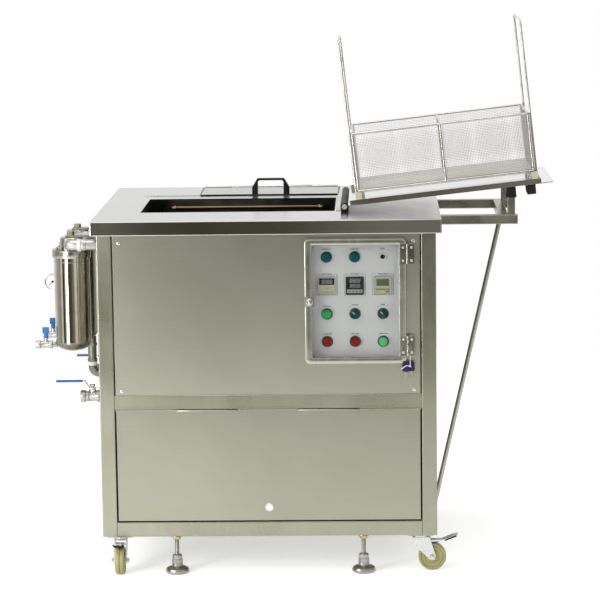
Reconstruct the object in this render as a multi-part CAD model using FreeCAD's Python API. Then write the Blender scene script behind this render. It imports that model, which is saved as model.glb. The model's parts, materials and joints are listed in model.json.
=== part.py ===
import FreeCAD, Part
import math
import os

# Ultrasonic parts washer tank on castors, with its drain board (the tank lid) open to the right.
# Cabinet frame of reference while drawing: X across from the cabinet's centre, Y back from the
# front faces of the posts, Z up from the floor. The finished nodes are moved so that the origin
# lies under the middle of the whole part, on the floor. All sizes are in millimetres.

V = FreeCAD.Vector
ACROSS = V(1, 0, 0)
BACKWARD = V(0, 1, 0)
UP = V(0, 0, 1)

# ---- driving dimensions: cabinet --------------------------------------------------------------
CABINET_WIDTH = 900.0
CABINET_DEPTH = 800.0
DECK_HEIGHT = 960.0
FRAME_BOTTOM = 104.0
TUBE = 40.0
TUBE_CORNER = 3.0
SHEET = 2.0
FIT = 0.3
RUN = 0.3

# deck sheet with a folded skirt
DECK_OVERHANG = 15.0
SKIRT_HEIGHT = 38.0
SKIRT_LIP = 11.0

# tank and rear well under the deck
TANK_FROM_LEFT = 103.0
TANK_FROM_RIGHT = 269.0
TANK_FRONT = 189.0
TANK_TO_COVER = 73.0
TANK_DEPTH = 350.0
RETURN_TUBE_DIA = 9.0
RETURN_TUBE_SHORTER = 98.0
RETURN_TUBE_DROP = 24.0
WELL_LEDGE = 14.0
WELL_DEPTH = 250.0
COVER_PAST_TANK = 3.0
COVER_FROM_BACK = 3.0
COVER_LENGTH = 393.0
COVER_WIDTH = 214.0
COVER_GAP = 4.0
TRANSDUCER_DIA = 58.0
TRANSDUCER_HEIGHT = 62.0

# rails, panels and the service door
MID_RAIL_DROP = 509.0
BACK_RAIL_DROP = 320.0
PANEL_SETBACK = 2.0
PANEL_SIDE_GAP = 3.0
PANEL_DROP = 15.0
LOUVRE_ROWS = 6
LOUVRE_PITCH = 18.0
LOUVRE_LENGTH = 120.0
LOUVRE_OPEN = 6.0
LOUVRE_APART = 280.0
DOOR_GAP = 4.0
DOOR_FOLD = 15.0
PIANO_HINGE_DIA = 6.0
PIANO_HINGE_PIN = 3.0
PIANO_KNUCKLES = 5
CAM_LOCK_DIA = 18.0
CAM_LOCK_FROM_BOTTOM = 36.0

# window door and control recess
WINDOW_FROM_RIGHT = 213.5
WINDOW_DROP = 218.0
WINDOW_WIDTH = 268.0
WINDOW_HEIGHT = 334.0
WINDOW_STILE = 18.5
WINDOW_RAIL = 16.0
WINDOW_THICK = 12.0
WINDOW_CORNER = 12.0
PANE_THICK = 3.0
PANE_BITE = 6.0
RECESS_MARGIN = 4.0
RECESS_DEPTH = 20.0
HINGE_PIN_DIA = 6.0
KEY_HEAD_DIA = 22.0
KEY_LENGTH = 30.0
KEY_DROP = 32.0
KEY_RING_DIA = 26.0
KEY_RING_WIRE = 2.4
KEY_RING_ASIDE = 6.0
HINGE_LEAF = 15.0
HINGE_HEIGHT = 54.0
HINGE_OFFSETS = (126.0, -120.0)

# control rows: pitch across, heights of the rows
CONTROL_OFFSET = -2.0
CONTROL_PITCH = 74.5
LAMP_RISE = 115.0
INSTRUMENT_RISE = 38.0
SELECTOR_RISE = -37.5
BUTTON_RISE = -112.0
BEZEL_DIA = 30.0
BEZEL_BORE = 24.0
BEZEL_HEIGHT = 6.0
BARREL_DIA = 22.0
BARREL_LENGTH = 38.0
ALARM_BARREL = 12.0
CAP_CLEARANCE = 0.3
BUTTON_TRAVEL = 2.5
INSTRUMENT_SIZE = 48.0
INSTRUMENT_BODY = 44.0
INSTRUMENT_DEPTH = 62.0

# drain board (lid) on its hinge
HINGE_PAST_TANK = 27.0
HINGE_RISE = 15.5
LID_TILT = 6.2
LID_OVER_FRONT = 34.0
LID_OVER_BACK = 35.0
LID_OVER_LENGTH = 38.0
LID_LIP = 33.0
LID_SHEET = 2.0
LID_WALL = 14.0
LID_PAN_START = 16.0
BARREL_SLEEVE_DIA = 20.0
LID_PIN_DIA = 8.0
LUG_THICK = 6.0
MID_LUG_THICK = 4.0

# bow handles on the lid and the rear cover
BOW_SPAN = 107.0
BOW_TOP = 77.0
BOW_RISE = 45.0
BOW_SHOULDER = 19.5
BOW_OPENING = 74.0
BOW_BAR = 5.0
BOW_DEPTH = 24.0
LID_HANDLE_FROM_END = 54.0

# basket standing on the open drain board
BASKET_START = 41.0
BASKET_FROM_END = 47.0
BASKET_FROM_EDGE = 40.0
BASKET_BOTTOM = 32.5
BASKET_HEIGHT = 155.5
BASKET_ROD = 6.0
BASKET_BEND = 4.0
BASKET_CORNER_INSET = 1.2
BASKET_LOOP_BEND = 9.0
BASKET_LOOP_TOP = 440.0
BASKET_FOOT = 18.0
MESH_THICK = 1.5
MESH_GAP = 0.4
MESH_PITCH = 40.0
MESH_BAR = 5.0

# bracket that carries the open drain board
BRACKET_TUBE = 25.0
BRACKET_DROP = 11.0
BRACKET_REACH = 209.0
BRACKET_CROSS_AT = 160.0
POST_TUBE = 20.0
POST_RISE = 53.0
POST_AT = 192.0
CAP_OVER = 4.0
CAP_BITE = 6.0
BRACE_DIA = 13.0
BRACE_FOOT_RISE = 21.0
BRACE_PLATE = 5.0
BRACE_BOLT_DIA = 9.0

# castors
CASTOR_INSET = 45.0
CASTOR_PLATE = 70.0
CASTOR_PLATE_THICK = 3.0
WHEEL_DIA = 75.0
WHEEL_WIDTH = 25.0
WHEEL_HUB_DIA = 28.0
WHEEL_HUB_WIDTH = 28.0
AXLE_DIA = 8.0
CASTOR_TRAIL = 32.0
FORK_GAP = 29.0
FORK_PLATE = 2.5
CROWN_DIA = 50.0
PEDAL_WIDTH = 22.0
PEDAL_REACH = 102.0
CASTOR_TURNS = {"front_left": -90.0, "front_right": 0.0, "rear_left": 205.0, "rear_right": -60.0}
BRAKED = ("front_left", "front_right")

# levelling feet
FOOT_X = 252.0
FOOT_PAD_DIA = 64.0
FOOT_PAD_HEIGHT = 26.0
FOOT_STEM_DIA = 12.0
FOOT_NUT = 26.0

# filters on the left side
FILTER_OUT = 78.0
FILTER_ROWS = (110.0, 270.0)
FILTER_DIA = 96.0
FILTER_LENGTH = 257.0
FILTER_RING_HEIGHT = 21.0
FILTER_RING_DIA = 104.0
FILTER_WALL = 2.0
FILTER_CAP_DIA = 60.0
FILTER_CAP_RISE = 32.0
PORT_DIA = 30.0
PORT_DROP = 70.0
PORT_OVER_RING = 16.0
PORT_REACH = 50.0
PORT_BEND = 22.0
JOINT_OUT = 56.0
JOINT_LENGTH = 11.0
JOINT_OVER = 4.0
RETURN_PIPE_OUT = 46.0
RETURN_PIPE_DROP = 91.0
RETURN_PIPE_DIA = 24.0
PIPE_ENTRY = 40.0
GAUGE_OUT = 142.0
GAUGE_RISE = 176.0
GAUGE_DIA = 43.0
GAUGE_FROM_ROW = 78.0
GAUGE_DEPTH = 20.0
NEEDLE_REST = -135.0

# ball valves: each is how far out of the side, back from the front and over the middle rail the ball
# is, and the length of its lever
VALVE_BODY_DIA = 34.0
VALVE_STEM_DIA = 9.0
VALVE_STEM_RISE = 27.0
LEVER_RISE = 19.0
LEVER_WIDTH = 14.0
LEVER_THICK = 3.0
LOWER_VALVE_OUT = (31.0, 120.0, 17.0, 97.0)
UPPER_VALVE_OUT = (25.0, 400.0, 39.0, 77.0)
DRAIN_OUT = 153.0
DRAIN_RISE = 17.0
DRAIN_BODY_DIA = 22.0
DRAIN_BODY_LENGTH = 54.0
DRAIN_HANDLE = 18.0

# machinery in the lower compartment
GENERATOR_FROM_RIGHT = 70.0
GENERATOR_FROM_BACK = 70.0
GENERATOR_SIZE = (320.0, 280.0, 240.0)
GENERATOR_FINS = 8
FIN_DEPTH = 22.0
FIN_THICK = 6.0
FIN_MARGIN = 20.0
PUMP_FROM_LEFT = 120.0
PUMP_FROM_FRONT = 360.0
PUMP_AXIS_RISE = 70.0
VOLUTE_DIA = 124.0
VOLUTE_EYE = 90.0
VOLUTE_BEVEL = 12.0
VOLUTE_WIDTH = 50.0
MOTOR_DIA = 110.0
MOTOR_LENGTH = 190.0
MOTOR_GAP = 4.0
MOTOR_DOME = 30.0
MOTOR_FOOT = (90.0, 200.0)
MOTOR_FOOT_WIDTH = 100.0
TERMINAL_BOX = (110.0, 180.0)
TERMINAL_WIDTH = 64.0
TERMINAL_RISE = 26.0
SUCTION_OUT = 45.0
SUCTION_FROM_BACK = 100.0
SUCTION_IN_WELL = 60.0
PIPE_BEND = 26.0
SUCTION_BEND = 40.0
RISER_IN = 25.0
RISER_BEND = 20.0
OUTLET_BACK = 40.0
PRESSURE_RISE = 104.0

# ---- places worked out from the driving dimensions ----------------------------------------------
HALF = CABINET_WIDTH / 2.0
INNER = HALF - TUBE
DECK_UNDER = DECK_HEIGHT - SHEET
RAIL_TOP = FRAME_BOTTOM + TUBE
MID_RAIL_BOTTOM = DECK_HEIGHT - MID_RAIL_DROP
MID_RAIL_TOP = MID_RAIL_BOTTOM + TUBE
BACK_RAIL_BOTTOM = DECK_HEIGHT - BACK_RAIL_DROP
PANEL_TOP = DECK_HEIGHT - PANEL_DROP
SKIN_FRONT = PANEL_SETBACK + SHEET
PLATE_FACE = PANEL_SETBACK + RECESS_DEPTH
TANK_LEFT = -HALF + TANK_FROM_LEFT
TANK_RIGHT = HALF - TANK_FROM_RIGHT
TANK_LENGTH = TANK_RIGHT - TANK_LEFT
COVER_RIGHT = TANK_RIGHT + COVER_PAST_TANK
COVER_LEFT = COVER_RIGHT - COVER_LENGTH
COVER_BACK = CABINET_DEPTH - COVER_FROM_BACK
COVER_FRONT = COVER_BACK - COVER_WIDTH
TANK_BACK = COVER_FRONT - TANK_TO_COVER
TANK_WIDTH = TANK_BACK - TANK_FRONT
RETURN_TUBE_LENGTH = TANK_LENGTH - RETURN_TUBE_SHORTER
WINDOW_X = HALF - WINDOW_FROM_RIGHT
WINDOW_Z = DECK_HEIGHT - WINDOW_DROP
WINDOW_LEFT = WINDOW_X - WINDOW_WIDTH / 2.0
WINDOW_RIGHT = WINDOW_X + WINDOW_WIDTH / 2.0
WINDOW_BACK = PANEL_SETBACK - FIT
WINDOW_FRONT = WINDOW_BACK - WINDOW_THICK
PANE_FRONT = WINDOW_BACK - PANE_THICK - 1.5
WINDOW_PIN = V(WINDOW_RIGHT + HINGE_PIN_DIA / 2.0 + FIT, WINDOW_FRONT - HINGE_PIN_DIA / 2.0 + 1.5, WINDOW_Z)
LATCH = V(WINDOW_LEFT + 12.5, WINDOW_FRONT, WINDOW_Z)
HINGE_PLACES = [WINDOW_Z + offset for offset in HINGE_OFFSETS]
LAMP_ROW = WINDOW_Z + LAMP_RISE
INSTRUMENT_ROW = WINDOW_Z + INSTRUMENT_RISE
SELECTOR_ROW = WINDOW_Z + SELECTOR_RISE
BUTTON_ROW = WINDOW_Z + BUTTON_RISE
COLUMNS = [WINDOW_X + CONTROL_OFFSET + CONTROL_PITCH * i for i in (-1, 0, 1)]
HINGE_X = TANK_RIGHT + HINGE_PAST_TANK
LID_AXIS = V(HINGE_X, 0, DECK_HEIGHT + HINGE_RISE)
LID_FRONT = TANK_FRONT - LID_OVER_FRONT
LID_BACK = TANK_BACK + LID_OVER_BACK
LID_DEPTH = LID_BACK - LID_FRONT
LID_LENGTH = TANK_LENGTH + LID_OVER_LENGTH
LID_PAN_LENGTH = LID_LENGTH - LID_LIP
LID_HANDLE_AT = LID_LENGTH - LID_HANDLE_FROM_END
LID_MIDDLE = LID_FRONT + LID_DEPTH / 2.0
BASKET_LENGTH = LID_LENGTH - BASKET_FROM_END - BASKET_START
BASKET_FRONT = LID_FRONT + BASKET_FROM_EDGE
BASKET_DEPTH = LID_DEPTH - 2 * BASKET_FROM_EDGE
BRACKET_TOP = DECK_HEIGHT - BRACKET_DROP
POST_TOP = BRACKET_TOP + POST_RISE
BRACE_FOOT_Z = FRAME_BOTTOM + BRACE_FOOT_RISE
COVER_PIN = V(0, COVER_BACK + 3.5, DECK_HEIGHT + 3.2)
DOOR_BOTTOM = RAIL_TOP + DOOR_GAP
DOOR_TOP = MID_RAIL_BOTTOM - DOOR_GAP
DOOR_PIN = V(0, -PIANO_HINGE_DIA / 2.0 - FIT, MID_RAIL_BOTTOM - DOOR_GAP / 2.0)
CAM_LOCK = V(0, 0, DOOR_BOTTOM + CAM_LOCK_FROM_BOTTOM)
PORT_Z = DECK_HEIGHT - PORT_DROP
FILTER_X = -HALF - FILTER_OUT
FILTER_RING_TOP = PORT_Z - PORT_OVER_RING
FILTER_RING_BOTTOM = FILTER_RING_TOP - FILTER_RING_HEIGHT
FILTER_BOTTOM = FILTER_RING_BOTTOM - FILTER_LENGTH
FILTER_CAP_TOP = FILTER_RING_TOP + FILTER_CAP_RISE
JOINT_X = -HALF - JOINT_OUT
RETURN_PIPE_X = -HALF - RETURN_PIPE_OUT
RETURN_PIPE_Z = FILTER_BOTTOM - RETURN_PIPE_DROP
GAUGE_X = -HALF - GAUGE_OUT
GAUGE_Z = FILTER_BOTTOM + GAUGE_RISE
GAUGE_FRONT = FILTER_ROWS[1] - GAUGE_FROM_ROW
LOWER_VALVE, UPPER_VALVE = [(-HALF - out, y, MID_RAIL_BOTTOM + rise, length)
                            for out, y, rise, length in (LOWER_VALVE_OUT, UPPER_VALVE_OUT)]
DRAIN_X = -HALF - DRAIN_OUT
DRAIN_Z = FILTER_BOTTOM + DRAIN_RISE
PUMP_AXIS_Z = RAIL_TOP + SHEET + PUMP_AXIS_RISE
WHEEL_R = WHEEL_DIA / 2.0
CASTOR_AXES = {
    "front_left": V(-HALF + CASTOR_INSET, CASTOR_INSET - 5, 0),
    "front_right": V(HALF - CASTOR_INSET, CASTOR_INSET - 5, 0),
    "rear_left": V(-HALF + CASTOR_INSET, CABINET_DEPTH - CASTOR_INSET, 0),
    "rear_right": V(HALF - CASTOR_INSET, CABINET_DEPTH - CASTOR_INSET, 0)}
PEDAL_PIN = V(22, 0, 81)


# ---- shared ways of making solids -----------------------------------------------------------------
def block(x0, x1, y0, y1, z0, z1):
    """A box between two corners."""
    return Part.makeBox(x1 - x0, y1 - y0, z1 - z0, V(x0, y0, z0))


def rod(diameter, start, end):
    """A round bar from one point to another."""
    run = end - start
    return Part.makeCylinder(diameter / 2.0, run.Length, start, run)


def rounded_block(x0, x1, y0, y1, z0, z1, along, radius=TUBE_CORNER):
    """A box whose four edges that run along one direction are rounded: drawn tube, or a cut plate."""
    body = block(x0, x1, y0, y1, z0, z1)
    return body.makeFillet(radius, edges_along(body, along))


def edges_along(body, along):
    """The straight edges of a body that run along one direction."""
    return [e for e in body.Edges if abs(e.tangentAt(e.FirstParameter).dot(along)) > 0.99]


def prism(points, direction):
    """A flat outline drawn through points and pushed along a direction."""
    outline = Part.makePolygon(points + [points[0]])
    return Part.Face(outline).extrude(direction)


def bent_path(points, radii):
    """A path of straight runs joined by tangent arcs, one radius for each inner point."""
    edges = []
    last = points[0]
    for before, corner, after, radius in zip(points, points[1:], points[2:], radii):
        inward = (before - corner).normalize()
        outward = (after - corner).normalize()
        half = inward.getAngle(outward) / 2.0
        setback = radius / math.tan(half)
        start = corner + inward * setback
        end = corner + outward * setback
        middle_way = (inward + outward).normalize()
        middle = corner + middle_way * (radius / math.sin(half) - radius)
        edges.append(Part.LineSegment(last, start).toShape())
        edges.append(Part.Arc(start, middle, end).toShape())
        last = end
    edges.append(Part.LineSegment(last, points[-1]).toShape())
    return Part.Wire(edges)


def bent_rod(diameter, points, radii):
    """Round bar or pipe bent along a path."""
    path = bent_path(points, radii)
    start = points[0]
    section = Part.Wire([Part.makeCircle(diameter / 2.0, start, points[1] - start)])
    return path.makePipeShell([section], True, False)


def turned(profile, base, axis):
    """A turned piece: profile points are (radius, height along the axis)."""
    flat = [V(r, 0, h) for r, h in profile]
    shape = Part.Face(Part.makePolygon(flat + [flat[0]])).revolve(V(0, 0, 0), UP, 360)
    shape.Placement = FreeCAD.Placement(base, FreeCAD.Rotation(UP, axis))
    return shape


def hexagon(across, base, height):
    """An upright hexagon nut or head."""
    radius = across / math.sqrt(3.0)
    ring = [V(base.x + radius * math.cos(math.radians(60 * i)),
              base.y + radius * math.sin(math.radians(60 * i)), base.z) for i in range(6)]
    return prism(ring, V(0, 0, height))


def fused(pieces):
    """Pieces welded or moulded into one solid."""
    whole = pieces[0].multiFuse(pieces[1:]) if len(pieces) > 1 else pieces[0]
    return whole.removeSplitter()


def on_lid(shape):
    """Places a shape drawn along the closed flat of the lid: x along it, z up from its hinge line."""
    moved = shape.copy()
    moved.translate(LID_AXIS)
    moved.rotate(LID_AXIS, V(0, -1, 0), LID_TILT)
    return moved


# ---- cabinet --------------------------------------------------------------------------------------
def cabinet_frame():
    """Square tube frame, butt welded, with the leaf of the service door hinge and the castor plates."""
    bars = []
    for x0 in (-HALF, INNER):
        for y0 in (0, CABINET_DEPTH - TUBE):
            bars.append(rounded_block(x0, x0 + TUBE, y0, y0 + TUBE, FRAME_BOTTOM, DECK_UNDER, UP))
        for z0 in (FRAME_BOTTOM, DECK_UNDER - TUBE):
            bars.append(rounded_block(x0, x0 + TUBE, TUBE, CABINET_DEPTH - TUBE, z0, z0 + TUBE, BACKWARD))
    front_rails = ((0, FRAME_BOTTOM), (0, MID_RAIL_BOTTOM), (SKIN_FRONT, DECK_UNDER - TUBE))
    back_rails = ((CABINET_DEPTH - TUBE, FRAME_BOTTOM), (CABINET_DEPTH - TUBE - SKIN_FRONT, BACK_RAIL_BOTTOM))
    for y0, z0 in front_rails + back_rails:
        bars.append(rounded_block(-INNER, INNER, y0, y0 + TUBE, z0, z0 + TUBE, ACROSS))
    bores = Part.makeCompound([rod(FOOT_STEM_DIA + 2 * RUN, foot, foot + UP * (RAIL_TOP - 2))
                               for foot in foot_places()])
    plates = [castor_plate(axis) for axis in CASTOR_AXES.values()]
    return Part.makeCompound([bar.cut(bores) for bar in bars] + plates + door_hinge_pieces(0))


def castor_plate(axis):
    """Square mounting plate welded under the frame's corner."""
    side = CASTOR_PLATE / 2.0
    return rounded_block(axis.x - side, axis.x + side, axis.y - side, axis.y + side,
                         FRAME_BOTTOM - CASTOR_PLATE_THICK, FRAME_BOTTOM, UP, 6)


def door_hinge_pieces(first):
    """Knuckles of the service door's hinge: even ones with pin and leaf on the frame, odd ones on the door."""
    span = 2 * (INNER - PANEL_SIDE_GAP)
    length = span / PIANO_KNUCKLES
    pieces = []
    for i in range(first, PIANO_KNUCKLES, 2):
        x0 = -span / 2.0 + i * length + FIT / 2.0
        x1 = x0 + length - FIT
        knuckle = rod(PIANO_HINGE_DIA, V(x0, DOOR_PIN.y, DOOR_PIN.z), V(x1, DOOR_PIN.y, DOOR_PIN.z))
        if first == 0:
            leaf = block(x0, x1, -1, 0, DOOR_PIN.z + 1, MID_RAIL_BOTTOM + 7)
            bridge = block(x0, x1, DOOR_PIN.y, 0, DOOR_PIN.z + 1, MID_RAIL_BOTTOM)
        else:
            leaf = block(x0, x1, -1, 0, DOOR_TOP - 9, DOOR_PIN.z - 1)
            bridge = block(x0, x1, DOOR_PIN.y, 0, DOOR_TOP - 1, DOOR_PIN.z - 1)
        pieces.append(fused([knuckle, leaf, bridge]))
    pin = rod(PIANO_HINGE_PIN, V(-span / 2.0 + 2, DOOR_PIN.y, DOOR_PIN.z), V(span / 2.0 - 2, DOOR_PIN.y, DOOR_PIN.z))
    if first == 0:
        return [fused(pieces + [pin])]
    bore = rod(PIANO_HINGE_PIN + 2 * RUN, V(-span, DOOR_PIN.y, DOOR_PIN.z), V(span, DOOR_PIN.y, DOOR_PIN.z))
    return [piece.cut(bore) for piece in pieces]


def cabinet_panels():
    """Side sheets, louvred back sheet and the floor tray, all seated inside the frame."""
    low, high = RAIL_TOP + FIT, DECK_UNDER - TUBE - FIT
    left = block(-HALF + PANEL_SETBACK, -HALF + SKIN_FRONT, TUBE + FIT, CABINET_DEPTH - TUBE - FIT, low, high)
    right = left.mirror(V(0, 0, 0), V(1, 0, 0))
    for hole in side_holes():
        left = left.cut(hole)
    back = block(-INNER + FIT, INNER - FIT, CABINET_DEPTH - SKIN_FRONT, CABINET_DEPTH - PANEL_SETBACK,
                 low, DECK_UNDER - SHEET - FIT)
    for row in range(LOUVRE_ROWS):
        z0 = low + TUBE + LOUVRE_PITCH * row
        for middle in (-LOUVRE_APART / 2.0, LOUVRE_APART / 2.0):
            back = back.cut(block(middle - LOUVRE_LENGTH / 2.0, middle + LOUVRE_LENGTH / 2.0, 0, CABINET_DEPTH,
                                  z0, z0 + LOUVRE_OPEN))
    tray = block(-HALF + SKIN_FRONT + FIT, HALF - SKIN_FRONT - FIT, TUBE / 2.0, CABINET_DEPTH - SKIN_FRONT - FIT,
                 RAIL_TOP, RAIL_TOP + SHEET)
    for x0 in (-HALF, INNER - FIT):
        for y0 in (0, CABINET_DEPTH - TUBE - FIT):
            tray = tray.cut(block(x0, x0 + TUBE + FIT, y0, y0 + TUBE + FIT, 0, DECK_HEIGHT))
    left = left.cut(block(-HALF, HALF, 0, CABINET_DEPTH, 0, RAIL_TOP + SHEET + FIT))
    right = right.cut(block(-HALF, HALF, 0, CABINET_DEPTH, 0, RAIL_TOP + SHEET + FIT))
    back = back.cut(block(-HALF, HALF, 0, CABINET_DEPTH, 0, RAIL_TOP + SHEET + FIT))
    return Part.makeCompound([left, right, back, tray])


def side_holes():
    """Holes in the left sheet for the pipes that pass through it."""
    pipes = [(y - PORT_REACH, PORT_Z, PORT_DIA) for y in FILTER_ROWS]
    pipes.append((FILTER_ROWS[1], RETURN_PIPE_Z, RETURN_PIPE_DIA))
    pipes += [(valve[1], valve[2], VALVE_BODY_DIA - 10) for valve in (LOWER_VALVE, UPPER_VALVE)]
    return [rod(dia + 2 * FIT, V(-HALF - 5, y, z), V(-HALF + 10, y, z)) for y, z, dia in pipes]


def front_panel():
    """Upper front sheet, resting on the middle rail and lying on the set-back top rail."""
    edge = INNER - PANEL_SIDE_GAP
    panel = block(-edge, edge, PANEL_SETBACK, SKIN_FRONT, MID_RAIL_TOP + FIT, PANEL_TOP)
    return panel.cut(recess_outline(PANEL_SETBACK - 1, SKIN_FRONT + 1, 0))


def recess_outline(y0, y1, grow):
    """The rectangular space behind the window door, made larger by grow all round."""
    half_wide = WINDOW_WIDTH / 2.0 - WINDOW_STILE + RECESS_MARGIN + grow
    half_high = WINDOW_HEIGHT / 2.0 - WINDOW_RAIL + RECESS_MARGIN + grow
    return block(WINDOW_X - half_wide, WINDOW_X + half_wide, y0, y1, WINDOW_Z - half_high, WINDOW_Z + half_high)


def control_plate():
    """Recessed control tray: floor plate, four walls and a flange against the back of the front panel."""
    wall = 1.5
    tray = recess_outline(SKIN_FRONT, PLATE_FACE + SHEET, wall).cut(recess_outline(0, PLATE_FACE, 0))
    flange = recess_outline(SKIN_FRONT, SKIN_FRONT + wall, 12).cut(recess_outline(0, SKIN_FRONT + 10, 0))
    tray = fused([tray, flange])
    for x, z in switch_places() + [(COLUMNS[0], LAMP_ROW), (COLUMNS[1], LAMP_ROW)]:
        tray = tray.cut(rod(BARREL_DIA + 2 * FIT, V(x, PLATE_FACE - 1, z), V(x, PLATE_FACE + 5, z)))
    tray = tray.cut(rod(ALARM_BARREL + 2 * FIT, V(COLUMNS[2], PLATE_FACE - 1, LAMP_ROW),
                        V(COLUMNS[2], PLATE_FACE + 5, LAMP_ROW)))
    hole = INSTRUMENT_BODY / 2.0 + FIT
    for x in COLUMNS:
        tray = tray.cut(block(x - hole, x + hole, PLATE_FACE - 1, PLATE_FACE + 5,
                              INSTRUMENT_ROW - hole, INSTRUMENT_ROW + hole))
    return tray


def switch_places():
    """Centres of the six push buttons and selectors on the control plate."""
    return [(x, SELECTOR_ROW) for x in COLUMNS] + [(x, BUTTON_ROW) for x in COLUMNS]


def lamps_and_bezels():
    """Bezel rings with their threaded barrels behind the plate, and the three pilot lamps."""
    back = V(0, 1, 0)
    pieces = []
    for x, z in switch_places():
        front = V(x, PLATE_FACE, z)
        ring = [(BEZEL_BORE / 2.0, 0), (BEZEL_DIA / 2.0, 0), (BEZEL_DIA / 2.0, -BEZEL_HEIGHT + 1.5),
                (BEZEL_DIA / 2.0 - 1.5, -BEZEL_HEIGHT), (BEZEL_BORE / 2.0, -BEZEL_HEIGHT)]
        cup = [(5, 0), (BARREL_DIA / 2.0, 0), (BARREL_DIA / 2.0, BARREL_LENGTH), (0, BARREL_LENGTH),
               (0, BARREL_LENGTH - 6), (5, BARREL_LENGTH - 6)]
        seat = [(5, -0.8), (BEZEL_BORE / 2.0 + 1, -0.8), (BEZEL_BORE / 2.0 + 1, 0), (5, 0)]
        pieces.append(fused([turned(ring, front, back), turned(seat, front, back), turned(cup, front, back)]))
    for x in COLUMNS[:2]:
        front = V(x, PLATE_FACE, LAMP_ROW)
        body = [(0, 0), (BARREL_DIA / 2.0, 0), (BARREL_DIA / 2.0, BARREL_LENGTH), (0, BARREL_LENGTH)]
        ring = [(0, 0), (BEZEL_DIA / 2.0, 0), (BEZEL_DIA / 2.0, -3), (BEZEL_DIA / 2.0 - 2, -5), (0, -5)]
        pieces.append(fused([turned(body, front, back), turned(ring, front, back)]))
        lens = [(0, -5), (11.5, -5), (11, -8), (8, -10.5), (0, -11.5)]
        pieces.append(turned(lens, front, back))
    front = V(COLUMNS[2], PLATE_FACE, LAMP_ROW)
    body = [(0, -3), (8.8, -3), (8.8, 0), (ALARM_BARREL / 2.0, 0), (ALARM_BARREL / 2.0, 24), (0, 24)]
    pieces.append(turned(body, front, back))
    pieces.append(turned([(0, -3), (6, -3), (5, -6), (0, -7.5)], front, back))
    return Part.makeCompound(pieces)


def instrument(x):
    """Panel instrument: square bezel in front of the plate, body through the cut-out."""
    half, body = INSTRUMENT_SIZE / 2.0, INSTRUMENT_BODY / 2.0
    bezel = rounded_block(x - half, x + half, PLATE_FACE - 6, PLATE_FACE,
                          INSTRUMENT_ROW - half, INSTRUMENT_ROW + half, BACKWARD, 2.5)
    window = block(x - half + 4, x + half - 4, PLATE_FACE - 7, PLATE_FACE - 4.8,
                   INSTRUMENT_ROW - half + 4, INSTRUMENT_ROW + half - 4)
    case = block(x - body, x + body, PLATE_FACE, PLATE_FACE + INSTRUMENT_DEPTH,
                 INSTRUMENT_ROW - body, INSTRUMENT_ROW + body)
    return fused([bezel.cut(window), case])


def panel_timers():
    """Cycle timer on the left and weekly timer on the right."""
    return Part.makeCompound([instrument(COLUMNS[0]), instrument(COLUMNS[2])])


def temperature_controller():
    return instrument(COLUMNS[1])


def push_button(x, z):
    """Button cap standing out of its bezel, with the stem that works the contact block."""
    front = V(x, PLATE_FACE, z)
    radius = BEZEL_BORE / 2.0 - CAP_CLEARANCE
    seat = -0.8 - BUTTON_TRAVEL - FIT
    profile = [(0, seat), (radius, seat), (radius, -10), (radius - 1.5, -11.5), (0, -12)]
    stem = rod(8, V(x, PLATE_FACE + seat - 0.5, z), V(x, PLATE_FACE + BARREL_LENGTH - 6 - BUTTON_TRAVEL - FIT, z))
    return fused([turned(profile, front, V(0, 1, 0)), stem])


def selector(x, z):
    """Rotary selector: dome in the bezel with a raised pointer grip, stem behind."""
    front = V(x, PLATE_FACE, z)
    radius = BEZEL_BORE / 2.0 - CAP_CLEARANCE
    seat = -0.8 - FIT
    disc = turned([(0, seat), (radius, seat), (radius, -7), (radius - 1, -8), (0, -8)], front, V(0, 1, 0))
    grip = rounded_block(x - 3.5, x + 3.5, PLATE_FACE - 17, PLATE_FACE - 7.5, z - 11, z + 11, BACKWARD, 3)
    grip.rotate(V(x, 0, z), V(0, 1, 0), -45)
    stem = rod(8, V(x, PLATE_FACE + seat - 0.5, z), V(x, PLATE_FACE + BARREL_LENGTH - 7, z))
    return fused([disc, grip, stem])


def window_frame():
    """Door frame with rounded corners, rebated at the back for the pane, with latch plate and hinge leaves."""
    z0, z1 = WINDOW_Z - WINDOW_HEIGHT / 2.0, WINDOW_Z + WINDOW_HEIGHT / 2.0
    frame = rounded_block(WINDOW_LEFT, WINDOW_RIGHT, WINDOW_FRONT, WINDOW_BACK, z0, z1, BACKWARD, WINDOW_CORNER)
    frame = frame.cut(block(WINDOW_LEFT + WINDOW_STILE, WINDOW_RIGHT - WINDOW_STILE, WINDOW_FRONT - 1,
                            WINDOW_BACK + 1, z0 + WINDOW_RAIL, z1 - WINDOW_RAIL))
    frame = frame.cut(pane_space(0.5, WINDOW_BACK + 1))
    latch_plate = rounded_block(LATCH.x - 12.5, LATCH.x + 12.5, WINDOW_FRONT - 3, WINDOW_FRONT,
                                LATCH.z - 13.5, LATCH.z + 13.5, BACKWARD, 1.5)
    spindle_hole = rod(8 + 2 * RUN, V(LATCH.x, WINDOW_FRONT - 5, LATCH.z), V(LATCH.x, WINDOW_BACK + 1, LATCH.z))
    return Part.makeCompound([frame.cut(spindle_hole), latch_plate.cut(spindle_hole)] + window_leaves(True))


def pane_space(clear, y1):
    """Where the pane sits, with clearance round its edge."""
    bite = PANE_BITE + clear
    return block(WINDOW_LEFT + WINDOW_STILE - bite, WINDOW_RIGHT - WINDOW_STILE + bite, PANE_FRONT, y1,
                 WINDOW_Z - WINDOW_HEIGHT / 2.0 + WINDOW_RAIL - bite,
                 WINDOW_Z + WINDOW_HEIGHT / 2.0 - WINDOW_RAIL + bite)


def window_pane():
    """Clear acrylic pane in the rebate."""
    return pane_space(0, PANE_FRONT + PANE_THICK)


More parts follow.
